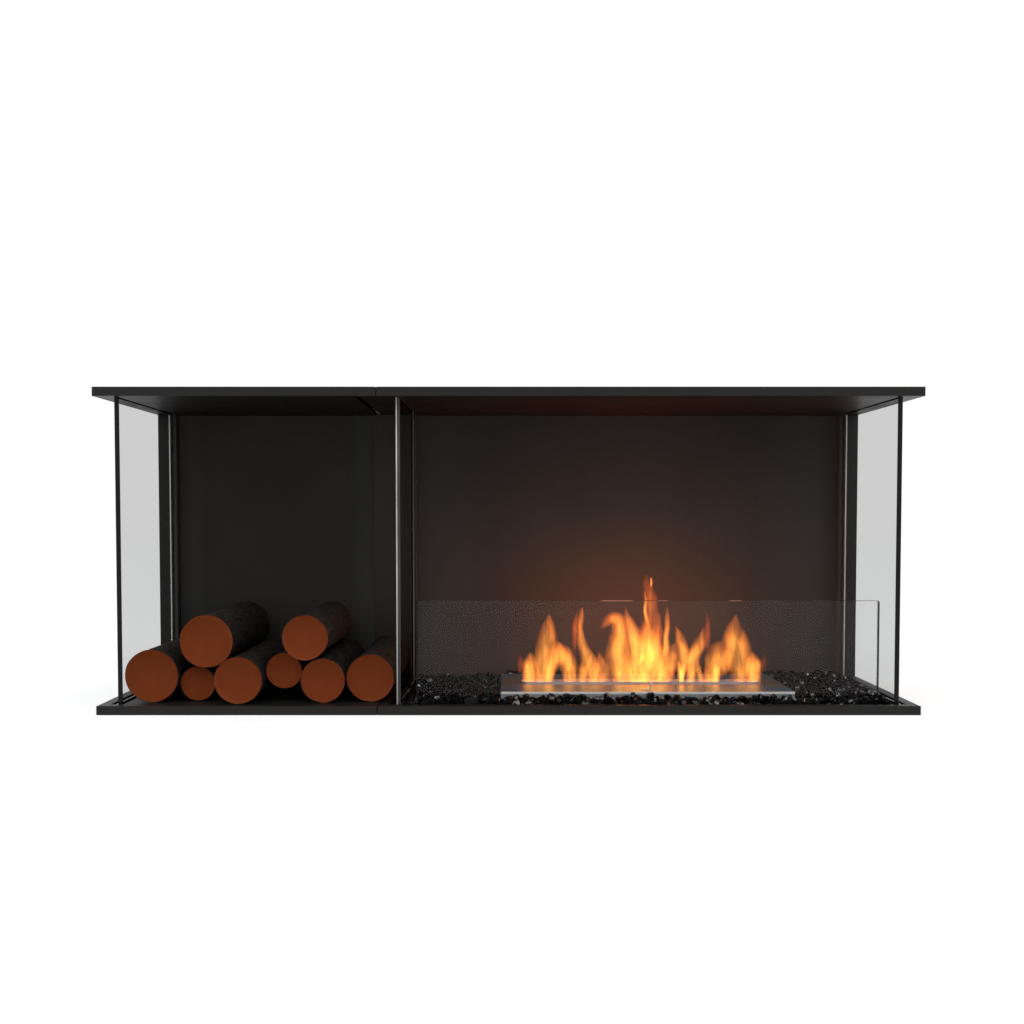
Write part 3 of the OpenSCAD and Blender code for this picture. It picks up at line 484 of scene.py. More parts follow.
@dataclass(frozen=True)
class ClearGlass(Finish):
    """Toughened glass: clear through its two faces, and dark and polished round its edges."""

    face_axis: int
    tint: Colour
    gloss: float
    low: Vector
    high: Vector
    taped: float = 1.0

    def shader(self, r: Recipe) -> Socket:
        """Lay out the shader."""
        facing = r.split(r.node("NewGeometry").outputs["True Normal"])[self.face_axis]
        edges = r.calc(r.times(facing, facing), 0.8, "LESS_THAN")
        return r.cross(edges, self.pane(r), self.edge(r))

    def pane(self, r: Recipe) -> Socket:
        """Lay out the two faces, grey behind the front of the post channel: glazing tape, made lighter as
        painted light.

        Args:
            r: The recipe of the material.

        Returns:
            The shader.
        """
        clear = r.node("BsdfTransparent", {"Color": self.tint}).outputs["BSDF"]
        rough = r.span(r.noise(r.where, 7.0, 2.0), 0.3, 0.7, 0.01, 0.05)
        shine = r.node("BsdfGlossy", {"Color": WHITE, "Roughness": rough}).outputs["BSDF"]
        taped = r.calc(r.axes[1], self.taped, "GREATER_THAN")
        tape = r.surface(TAPE_AND_PAINTED_LIGHT, 0.6, shine=0.2)
        return r.cross(taped, r.cross(self.gloss, clear, shine), tape)

    def edge(self, r: Recipe) -> Socket:
        """Lay out the edges, with painted light on the rear half."""
        return self.polished(r, r.blend(self.rear(r), EDGE_SHADE, HEEL_PAINTED_LIGHT))

    def rear(self, r: Recipe) -> Socket:
        """Give 1 in the rear half of the glass and 0 in the front half."""
        return r.calc(r.axes[1], (self.low.y + self.high.y) / 2, "GREATER_THAN")

    @staticmethod
    def polished(r: Recipe, shade: object) -> Socket:
        """Lay out polished glass of one shade."""
        return r.surface(shade, 0.2, shine=0.12)


@dataclass(frozen=True)
class DividerGlass(ClearGlass):
    """Glass seen edge on: painted light lines run up its polished arrises, and another painted light line
    runs up its rear edge behind them.
    """

    # colours of the painted highlights on the left and right arrises
    left: Colour = (0.76, 0.755, 0.73)
    right: Colour = (0.085, 0.08, 0.077)
    rear_highlight: Colour = (0.6, 0.56, 0.52)

    def edge(self, r: Recipe) -> Socket:
        """Lay out the edges."""
        across = r.span(r.axes[0], self.low.x, self.high.x, 0.0, 1.0)
        # painted highlights up the arrises
        lines = r.ramp(across, (0.14, EDGE_SHADE), (0.18, self.left), (0.38, self.left), (0.43, self.right),
                       (0.47, EDGE_SHADE), (0.6, self.right))
        flecks = r.span(r.noise(r.coordinates(stretch=(1.0, 1.0, 0.25)), 60.0), 0.3, 0.7, 0.0, 0.5)
        # the painted lines grow darker towards the bottom and break into flecks
        highlight_fade = r.calc(flecks, r.span(r.axes[2], 0.07, 0.3, 0.5, 0.0), "MAXIMUM")
        # painted light line up the rear edge
        rear_highlight = r.ramp(across, (0.26, EDGE_SHADE), (0.34, self.rear_highlight), (0.58, self.rear_highlight), (0.66, EDGE_SHADE))
        return self.polished(r, r.blend(self.rear(r), r.blend(highlight_fade, lines, EDGE_SHADE), rear_highlight))


@dataclass(frozen=True)
class ScreenGlass(ClearGlass):
    """The low front glass: its ends are painted dark on its face, and its top edge carries painted glints of
    the flames.
    """

    rim: float = 2.2 * MM
    crest: float = 1.4 * MM
    # colours of the painted glints, and of the edge between them
    painted_light: Colour = (0.42, 0.2, 0.11)
    half: Colour = (0.34, 0.17, 0.1)
    dim: Colour = (0.05, 0.042, 0.036)
    crest_light: tuple[Colour, Colour, Colour] = ((0.3,) * 3, (0.9,) * 3, (0.85,) * 3)

    def pane(self, r: Recipe) -> Socket:
        """Lay out the two faces, with painted dark ends and painted glints along the top."""
        half = (self.high.x - self.low.x) / 2
        away = r.sideways((self.low.x + self.high.x) / 2)
        # painted shade at the ends
        ends = r.span(away, half - self.rim, half - self.rim * 0.7, 0.0, 0.85)
        face = r.cross(ends, super().pane(r), self.polished(r, EDGE_SHADE))
        top = r.span(r.axes[2], self.high.z - self.crest, self.high.z - self.crest * 0.8, 0.0, 1.0)
        return r.cross(r.times(top, self.glints(r, *self.crest_light)), face, self.edge(r))

    def edge(self, r: Recipe) -> Socket:
        """Lay out the edges, with painted glints of the flames."""
        return self.polished(r, self.glints(r, self.dim, self.painted_light, self.half))

    def glints(self, r: Recipe, plain: Colour, painted_light: Colour, half: Colour) -> Socket:
        """Lay one long orange painted glint and two short, half-bright painted ones along the glass."""
        along = r.span(r.axes[0], self.low.x, self.high.x, 0.0, 1.0)
        return r.ramp(along, (0.39, plain), (0.402, painted_light), (0.464, painted_light), (0.474, plain), (0.518, plain),
                      (0.522, half), (0.542, half), (0.546, plain), (0.67, plain), (0.68, half),
                      (0.698, half), (0.708, plain))


@dataclass(frozen=True)
class Bark(Finish):
    """Dark bark with furrows along the log."""

    name: str = "bark"
    colour: Colour = (0.0155, 0.0138, 0.0126)
    ridge: Colour = (0.033, 0.0275, 0.0235)

    def shader(self, r: Recipe) -> Socket:
        """Lay out the shader."""
        furrows = r.noise(r.coordinates(stretch=(1.0, 0.16, 1.0)), 170.0, 6.0)
        flakes = r.noise(r.where, 60.0, 4.0)
        relief = r.bump(r.calc(r.times(furrows, 0.7), r.times(flakes, 0.3)), 0.0022)
        return r.surface(r.ramp(furrows, (0.35, self.colour), (0.7, self.ridge)), 0.9, relief, 0.06)


@dataclass(frozen=True)
class SawnEnd(Finish):
    """The sawn end of a log: faint year rings round its heart, saw marks and a paler rim."""

    heart: Vector
    radius: float
    turn: float
    wood: Colour = (0.172, 0.0355, 0.0098)
    late: Colour = (0.148, 0.029, 0.008)
    pale: Colour = (0.21, 0.058, 0.02)

    def shader(self, r: Recipe) -> Socket:
        """Lay out the shader."""
        where = r.coordinates(self.heart)
        rings = self.waves(r, where, (95.0, 2.2, 0.35), wave_type="RINGS", rings_direction="Y")
        patch = r.noise(where, 38.0, 4.0)
        base = r.ramp(patch, (0.3, scaled(self.wood, 0.93)), (0.7, scaled(self.wood, 1.06)))
        ringed = r.blend(r.times(rings, 0.38), base, self.late)
        away = r.distance(self.heart, (1.0, 0.0, 1.0))
        rim = r.span(away, self.radius * 0.96, self.radius * 0.985, 0.0, 0.3)
        turned = r.node("VectorRotate", {"Vector": where, "Angle": self.turn}, rotation_type="Y_AXIS")
        marks = self.waves(r, turned.outputs["Vector"], (130.0, 3.0, 0.5), wave_type="BANDS")
        normal = r.bump(rings, 0.0002, 0.5, r.bump(marks, 0.00025, 0.5))
        return r.surface(r.blend(rim, ringed, self.pale), 0.82, normal, 0.06)

    @staticmethod
    def waves(r: Recipe, where: Socket, measures: Triple, **kind: str) -> Socket:
        """Lay out waves, given their scale, distortion and detail scale."""
        feeds = dict(zip(("Scale", "Distortion", "Detail Scale"), measures))
        return r.node("TexWave", {"Vector": where} | feeds, **kind).outputs["Fac"]


@dataclass(frozen=True)
class StoneGlass(Finish):
    """Broken black glass with ripples: glossy in patches, and a little duller before the windscreen."""

    name: str = "black_stone_glass"
    colour: Colour = (0.004, 0.004, 0.0045)

    def shader(self, r: Recipe) -> Socket:
        """Lay out the shader."""
        bright = r.span(r.noise(r.where, 85.0, 2.0), 0.57, 0.62, 0.0, 1.0)
        clusters = r.span(r.noise(r.where, 17.0, 1.0), 0.42, 0.6, 0.1, 1.0)
        front = r.span(r.axes[1], -0.175, -0.12, 0.75, 1.0)
        shine = r.times(r.times(r.span(bright, 0.0, 1.0, 0.04, 1.9), clusters), front)
        ripple = r.bump(r.noise(r.where, 260.0), 0.0012, 0.8)
        return r.surface(self.colour, r.span(bright, 0.0, 1.0, 0.28, 0.05), ripple, shine, IOR=1.7)


@dataclass(frozen=True)
class FlameLayer(Finish):
    """One of the shells that every flame is made of, from 0 for the outermost to 1 for the heart.

    They only add light to what is behind them, so a flame is brightest where most of them overlap.
    """

    depth: float
    outer: Colour = (1.0, 0.2, 0.016)
    inner: Colour = (1.0, 0.44, 0.066)

    @property
    def width(self) -> float:
        """How wide it is beside the flame's own width."""
        return 1.22 - 0.9 * self.depth ** 1.2

    @property
    def colour(self) -> Colour:
        """The light that it adds, redder outside than inside."""
        light = 0.045 + 0.085 * min(1.0, self.depth / 0.3)
        return tuple(light * (a + (b - a) * self.depth) for a, b in zip(self.outer, self.inner))

    def shader(self, r: Recipe) -> Socket:
        """Lay out the shader."""
        rise, heat = (r.node("Attribute", attribute_name=name).outputs["Fac"] for name in ("rise", "warmth"))
        tip, faint = scaled(self.colour, 0.8, 0.5, 0.35), scaled(self.colour, 1.0, 0.45, 0.5)
        risen = r.ramp(rise, (0.0, self.colour), (0.55, self.colour), (1.0, tip))
        shade = r.blend(r.span(heat, 0.15, 0.5, 0.0, 1.0), faint, risen)
        broad = r.noise(r.coordinates(stretch=(1.0, 0.2, 0.3)), 42.0, 3.0, 0.8)
        fine = r.noise(r.coordinates(stretch=(1.0, 0.2, 0.16)), 150.0, 2.0, 0.8)
        streaky = r.times(r.span(broad, 0.34, 0.68, 0.5, 1.6), r.span(fine, 0.35, 0.66, 0.75, 1.3))
        faded = r.times(streaky, r.span(rise, 0.6, 1.0, 1.0, 0.16))
        glow = r.node("Emission", {"Color": shade, "Strength": r.times(faded, heat)}).outputs["Emission"]
        return r.both(r.node("BsdfTransparent").outputs["BSDF"], glow)


def cover(names: str, finish: Finish) -> None:
    """Give CAD nodes one finish.

    Args:
        names: The nodes, with blanks between them.
        finish: The finish.
    """
    material = finish.make()
    for name in names.split():
        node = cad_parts[name]
        if not node.material_slots:
            node.data.materials.append(material)
        for slot in node.material_slots:
            slot.link = "OBJECT"
            slot.material = material


class Casing:
    """The folded sheet metal of both modules, with what is inside and under it."""

    def dress(self) -> None:
        """Give every sheet, rail, screw, pad and board its finish."""
        cover("log_box_tray log_box_floor log_box_rear_skin log_box_top_pan firebox_tray firebox_rear_skin "
              "firebox_top_pan burner_cradle", PowderCoat("black_powder_coat", (0.0084, 0.0079, 0.0073)))
        cover("log_box_left_post log_box_right_post", PowderCoat("black_post_coat", (0.0138, 0.0129, 0.0118)))
        # painted light: the firebox posts take the black coat made lighter, in place of light that doesn't
        # reach them
        cover("firebox_left_post firebox_right_post", PowderCoat("firebox_post_lightened_coat", (0.033, 0.0295, 0.0272)))
        self.dress_linings()
        cover("log_box_top_rails firebox_top_rails joining_bolts joining_nuts base_screws top_screws "
              "panel_screws skin_screws", SatinSteel("zinc_plate", (0.5, 0.51, 0.53), 0.38, Brush.NONE))
        cover("log_box_pads firebox_pads", MattFill("pad_rubber", (0.05, 0.05, 0.052), 700.0, 0.0002))
        cover("firebox_insulation", MattFill("fibre_board", (0.68, 0.63, 0.55), 150.0, 0.0008))
        LOG.info("casing dressed")

    @staticmethod
    def dress_linings() -> None:
        """Paint the inner back panels and the ceilings, with painted light: a lighter middle and lighter
        sides in the log box, a painted glow of the flames on the firebox's back and on the ceilings, and a
        cool base and cool lighter sides in the firebox that offset the flame lamps' orange light.
        """
        # painted light: a slightly lighter middle and lighter strips at the sides
        cover("log_box_back_panel", HeatPaint(
            "black_lining_paint", (0.0228, 0.0213, 0.0199), (0.0243, 0.0228, 0.0212), place(-445, 400, 250),
            0.3, sheet="log_box_back_panel"))
        # painted light: a reddish painted glow of the flames in the middle, and a cool base and cool lighter
        # strips at the sides
        cover("firebox_back_panel", HeatPaint(
            "firebox_lining_glow_paint", (0.0175, 0.0178, 0.0182), (0.0268, 0.0162, 0.0145), place(205, 402, 110),
            0.24, sheet="firebox_back_panel", painted_side_light=(0.031, 0.034, 0.036), band=0.16))
        # painted light: a reddish painted glow of the flames over the firebox
        cover("log_box_soffit firebox_soffit", HeatPaint(
            "ceiling_paint", (0.0078, 0.007, 0.0063), (0.017, 0.0075, 0.0045), place(200, 200, 520),
            0.3, roughness=0.44, shine=0.12))


@dataclass
class Glazing:
    """The side glass, the windscreen and what holds them."""

    sides: tuple[tuple[str, int], ...] = (("log_box_glass", -1), ("right_glass", 1))
    side_tint: Colour = (0.79, 0.79, 0.789)
    side_gloss: float = 0.008
    screen_tint: Colour = (0.985, 0.987, 0.986)
    screen_gloss: float = 0.0055
    tape_start: float = 0.5 * MM
    bead_room: float = 0.4
    bead_width: float = 2.6
    bead_round: float = 0.35 * MM
    post_bead: tuple[Pair, ...] = ((365.6, 367.9), (13.2, 519.0))
    sill_bead: tuple[Pair, ...] = ((25.5, 365.4), (13.1, 14.4))

    def dress(self) -> None:
        """Give the glass, its channels, seals and feet their finishes."""
        side = (0, self.side_tint, self.side_gloss)
        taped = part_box("post_channels")[0].y + self.tape_start
        for name, _ in self.sides:
            cover(name, ClearGlass(f"{name}_look", *side, *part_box(name), taped))
        cover("divider_glass", DividerGlass("divider_look", *side, *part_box("divider_glass")))
        screen = (1, self.screen_tint, self.screen_gloss)
        cover("windscreen", ScreenGlass("screen_look", *screen, *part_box("windscreen")))
        cover("floor_channels post_channels",
              PowderCoat("channel_coat", (0.03, 0.029, 0.0275), roughness=0.42))
        cover("setting_blocks glass_gaskets windscreen_liners",
              MattFill("seal_rubber", (0.02, 0.02, 0.02), 500.0, 0.0001, roughness=0.7))
        cover("windscreen_feet", PowderCoat("foot_coat", (0.009, 0.0085, 0.008), roughness=0.4))
        LOG.info("glazing dressed")

    def build(self) -> None:
        """Model the pale sealing beads of the two outer panes, behind them and along the floor; their pale
        metal stands in for light lines there, a painted highlight.
        """
        # pale metal that stands in for the light lines along the glass: a painted highlight
        finish = SatinSteel("bead_metal", (0.62, 0.62, 0.61), 0.5, Brush.NONE).make()
        for name, side in self.sides:
            low, high = (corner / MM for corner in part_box(name))
            edge = (low.x if side < 0 else high.x) + side * self.bead_room
            for kind, reach in (("post", self.post_bead), ("sill", self.sill_bead)):
                bead = self.bead(f"{name}_{kind}_bead", sorted((edge, edge + side * self.bead_width)), *reach)
                bead.data.materials.append(finish)
                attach(bead, "casing")
        LOG.info("glass beads made")

    def bead(self, name: str, sides: list[float], depths: Pair, heights: Pair) -> Piece:
        """Model one bead with rounded edges.

        Args:
            name: Its name.
            sides: Its left and right, in millimetres.
            depths: Its front and back.
            heights: Its foot and top.

        Returns:
            The bead.
        """
        low, high = (place(*corner) for corner in zip(sides, depths, heights))
        clear_selection()
        bpy.ops.mesh.primitive_cube_add(size=1.0, location=(low + high) / 2, scale=high - low)
        bead = added(name)
        bpy.ops.object.mode_set(mode="EDIT")
        bpy.ops.mesh.select_all(action="SELECT")
        bpy.ops.mesh.bevel(offset=self.bead_round, segments=2, affect="EDGES")
        bpy.ops.object.mode_set(mode="OBJECT")
        return bead


class Burner:
    """The slotted deck, its tank, the regulator and the fibre inside."""

    def dress(self) -> None:
        """Give the burner's pieces their finishes."""
        cover("burner_deck", DeckSteel("deck_steel", (0.51, 0.6, 0.95), 0.34, Brush.ALONG_X))
        cover("burner_tank baffle_plate guide_rails guide_rivets deck_screws",
              SatinSteel("tank_steel", (0.52, 0.51, 0.49), 0.36, Brush.ALONG_X))
        cover("regulator_slide", SatinSteel("slide_steel", (0.6, 0.58, 0.55), 0.28, Brush.ALONG_Y))
        cover("wick_block", MattFill("scorched_wick_fibre", (0.3, 0.26, 0.22), 260.0, 0.0006, contrast=0.3))
        LOG.info("burner dressed")


@dataclass
class Logs:
    """The eight logs: rough bark round flat sawn ends."""

    count: int = 8
    sides: int = 96
    rings: int = 54
    margin: float = 1.6 * MM
    bevel: float = 0.5 * MM
    crook: float = 2.0 * MM
    crook_lump: float = 0.05
    bark: float = 2.6 * MM
    bark_lump: float = 0.009
    skin: float = 3.0 * MM
    end_room: float = 1.0 * MM
    end_reach: float = 2.5 * MM
    crease: float = math.radians(50)

    def build(self) -> None:
        """Model every log in the place of its CAD node."""
        bark = Bark().make()
        for number in range(1, self.count + 1):
            self.build_one(number, bark)
        LOG.info("logs: %d", self.count)

    def build_one(self, number: int, bark: bpy.types.Material) -> None:
        """Model one log.

        Args:
            number: Which log it is.
            bark: The finish of its side.
        """
        node = f"log_{number}"
        low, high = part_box(node)
        middle = (low + high) / 2
        radius = (high.x - low.x) / 2
        length = high.y - low.y
        clear_selection()
        bpy.ops.mesh.primitive_cylinder_add(vertices=self.sides, radius=radius, depth=length, location=middle,
                                            end_fill_type="NGON", rotation=(math.pi / 2, 0, 0))
        log = added(f"sawn_log_{number}")
        choose(log, "EDGE", lambda run: run > length / 2)
        bpy.ops.mesh.subdivide(number_cuts=self.rings)
        choose(log, "FACE", lambda run: run < MM)
        bpy.ops.mesh.inset(thickness=self.margin, use_individual=True)
        bpy.ops.mesh.inset(thickness=self.bevel, depth=-self.bevel, use_individual=True)
        bpy.ops.object.mode_set(mode="OBJECT")
        outside = [v.index for v in log.data.vertices
                   if math.hypot(v.co.x - middle.x, v.co.z - middle.z) > radius - self.skin]
        between = [v.index for v in log.data.vertices
                   if abs(v.co.y - middle.y) < length / 2 - self.end_room]
        self.displace(log, "whole", outside, self.crook_lump, self.crook, number)
        self.displace(log, "side", between, self.bark_lump, self.bark, number + 20)
        apply_all(log)
        log.data.materials.append(bark)
        heart = Vector((math.sin(number * 2.1), 0, math.cos(number * 1.7))) * radius * 0.12
        log.data.materials.append(SawnEnd(f"sawn_end_{number}", middle + heart, radius, number * 0.7).make())
        for polygon in log.data.polygons:
            at_end = abs(polygon.center.y - middle.y) > length / 2 - self.end_reach
            polygon.material_index = int(abs(polygon.normal.y) > 0.7 and at_end)
        bpy.ops.object.shade_smooth_by_angle(angle=self.crease)
        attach(log, "casing")
        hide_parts(node)

    @staticmethod
    def displace(log: Piece, group: str, points: list[int], lump: float, depth: float, seed: int) -> None:
        """Press lumps into the surface, never out of it.

        Args:
            log: The log.
            group: The name of the group of points that move.
            points: Those points.
            lump: The size of a lump, in metres.
            depth: The depth of the deepest one, in metres.
            seed: A number for the name of the lumps.
        """
        log.vertex_groups.new(name=group).add(points, 1.0, "REPLACE")
        texture = bpy.data.textures.new(f"lumps_{group}_{seed}", "CLOUDS")
        configure(texture, noise_scale=lump, noise_depth=2)
        configure(log.modifiers.new(group, "DISPLACE"), texture=texture, texture_coords="LOCAL",
                  vertex_group=group, direction="NORMAL", mid_level=1.0, strength=depth)


@dataclass(frozen=True)
class Patch:
    """A rectangle of the bed of stones, in millimetres from the middle and the front lip."""

    left: float
    right: float
    front: float
    back: float

    @classmethod
    def round_node(cls, node: str, room: float) -> "Patch":
        """Give the rectangle that a CAD node takes up, with room round it."""
        low, high = (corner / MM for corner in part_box(node))
        return cls(low.x - room, high.x + room, low.y + HALF_DEPTH - room, high.y + HALF_DEPTH + room)


@dataclass
class StoneBed:
    """The bed of broken black glass round the burner and along the windscreen."""

    pitch: float = 20.0
    shapes: int = 9
    cuts: int = 7
    ball: float = 0.62
    cut_depth: Pair = (0.3, 0.44)
    weld: float = 0.02
    seed: int = 4
    chip_seed: int = 100
    bare: float = 0.3
    sizes: tuple[Pair, ...] = ((21.0, 29.0), (17.0, 27.0))
    stray: float = 2.5
    floor: float = 4.0
    second: float = 16.0
    top: float = 28.0
    bed: Patch = Patch(-175.8, 636.0, 18.6, 382.4)
    room: float = 0.8
    foot_inset: float = 110.0
    foot_half: float = 31.0
    foot_room: float = 0.4

    def build(self) -> None:
        """Model the stones once and strew copies over every part of the bed."""
        finish = StoneGlass().make()
        masters = [self.chip(index) for index in range(self.shapes)]
        deck = Patch.round_node("burner_deck", self.room)
        beside = deck.front + self.room
        beds = (
            ("front", 0.0, 0.7, self.front_patches(deck.front)),
            ("left", 0.45, 1.0, [Patch(self.bed.left, deck.left, beside, self.bed.back)]),
            ("right", 0.0, 1.0, [Patch(deck.right, self.bed.right, beside, self.bed.back)]),
            ("back", 0.0, 1.0, [Patch(deck.left, deck.right, deck.back, self.bed.back)]),
        )
        luck = random.Random(self.seed)
        for side, sink, grain, parts in beds:
            copies = [stone for part in parts for stone in self.strew(part, masters, luck, sink, grain)]
            heap = join_all(copies, f"stone_bed_{side}")
            heap.data.materials.append(finish)
            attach(heap, "casing")
            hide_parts(f"stones_{side}")
            LOG.info("stones %s: %d", side, len(copies))
        for master in masters:
            bpy.data.objects.remove(master)

    def front_patches(self, back: float) -> list[Patch]:
        """List the strips before and behind the windscreen, narrower at its feet.

        Args:
            back: Where the stones before the burner end.

        Returns:
            The strips.
        """
        screen = Patch.round_node("windscreen", self.room)
        feet = Patch.round_node("windscreen_feet", self.foot_room)
        edges = [self.bed.left]
        for foot in (screen.left + self.foot_inset, screen.right - self.foot_inset):
            edges += [foot - self.foot_half, foot + self.foot_half]
        edges.append(self.bed.right)
        parts = []
        for index, (left, right) in enumerate(zip(edges, edges[1:])):
            stretch = feet if index % 2 == 1 else screen
            parts.append(Patch(left, right, self.bed.front, stretch.front))
            parts.append(Patch(left, right, stretch.back, back))
        return parts

    def chip(self, index: int) -> Piece:
        """Model one stone by cutting flat faces off a ball.

        Args:
            index: Which stone it is.

        Returns:
            A stone about 1 wide, centred on the origin.
        """
        luck = random.Random(self.chip_seed + index)
        clear_selection()
        bpy.ops.mesh.primitive_ico_sphere_add(subdivisions=1, radius=self.ball)
        stone = added(f"chip_{index}")
        bpy.ops.object.mode_set(mode="EDIT")
        for _ in range(self.cuts):
            bpy.ops.mesh.select_all(action="SELECT")
            way = Vector([luck.uniform(-1, 1) for _ in range(3)]).normalized()
            bpy.ops.mesh.bisect(plane_co=way * luck.uniform(*self.cut_depth), plane_no=way,
                                use_fill=True, clear_outer=True)
        bpy.ops.mesh.select_all(action="SELECT")
        bpy.ops.mesh.remove_doubles(threshold=self.weld)
        bpy.ops.mesh.normals_make_consistent(inside=False)
        bpy.ops.object.mode_set(mode="OBJECT")
        return stone

    def strew(self, part: Patch, masters: list[Piece], luck: random.Random, sink: float, grain: float
              ) -> list[Piece]:
        """Lay two layers of stones over one rectangle.

        Args:
            part: The rectangle.
            masters: The modelled stones.
            luck: The source of the scatter.
            sink: How much smaller and fewer the stones are at its back, from 0 to 1.
            grain: How big the stones are beside the usual ones.

        Returns:
            The copies, each with its own mesh.
        """
        width, depth = part.right - part.left, part.back - part.front
        columns, rows = (max(1, round(length / self.pitch / grain)) for length in (width, depth))
        copies = []
        for layer, column, row in itertools.product(range(2), range(columns), range(rows)):
            fall = sink * (row + 0.5) / rows
            if layer == 1 and luck.random() < self.bare + fall * 1.6:
                continue
            size = min(luck.uniform(*self.sizes[layer]), depth) * (grain * (1.0 - fall * 0.7))
            half = size * 0.5
            stray_x, stray_d = (luck.uniform(-self.stray, self.stray) for _ in range(2))
            x = part.left + width / columns * (column + 0.5 + 0.5 * layer) + stray_x
            d = part.front + depth / rows * (row + 0.5) + stray_d
            x = min(max(x, part.left + half), part.right - half)
            d = min(max(d, part.front + half), part.back - half)
            z = self.floor + half * 0.82
            if layer == 1:
                z = luck.uniform(self.second * grain, self.top - half * 0.8)
            copies.append(self.copy(luck.choice(masters), size, place(x, d, z), luck))
            self.settle(copies[-1], part)
        return copies

    def settle(self, stone: Piece, part: Patch) -> None:
        """Press a stone's corners back into its part of the bed.

        Args:
            stone: The stone.
            part: The rectangle that it was strewn over.
        """
        low = place(part.left, part.front, self.floor)
        high = place(part.right, part.back, self.top)
        for vertex in stone.data.vertices:
            vertex.co = [min(max(c, a), b) for c, a, b in zip(vertex.co, low, high)]

    @staticmethod
    def copy(master: Piece, size: float, where: Vector, luck: random.Random) -> Piece:
        """Copy a stone, with a size, a turn and a place put into its own mesh.

        Args:
            master: The modelled stone.
            size: Its width in millimetres.
            where: Its middle.
            luck: The source of its turn.

        Returns:
            The copy.
        """
        turn = Euler([luck.uniform(0, math.tau) for _ in range(3)]).to_matrix().to_4x4()
        flat = Matrix.Diagonal((1.0, luck.uniform(0.75, 1.0), luck.uniform(0.6, 0.85), 1.0))
        mesh = master.data.copy()
        mesh.transform(Matrix.Translation(where) @ turn @ flat @ Matrix.Scale(size * MM, 4))
        return put(master.name, mesh)


@dataclass(frozen=True)
class Tongue:
    """One tongue of flame: stations of x from the burner's middle, height and half width, in millimetres."""

    stations: tuple[Triple, ...]
    heat: float = 0.6
    depth: float = 0.0


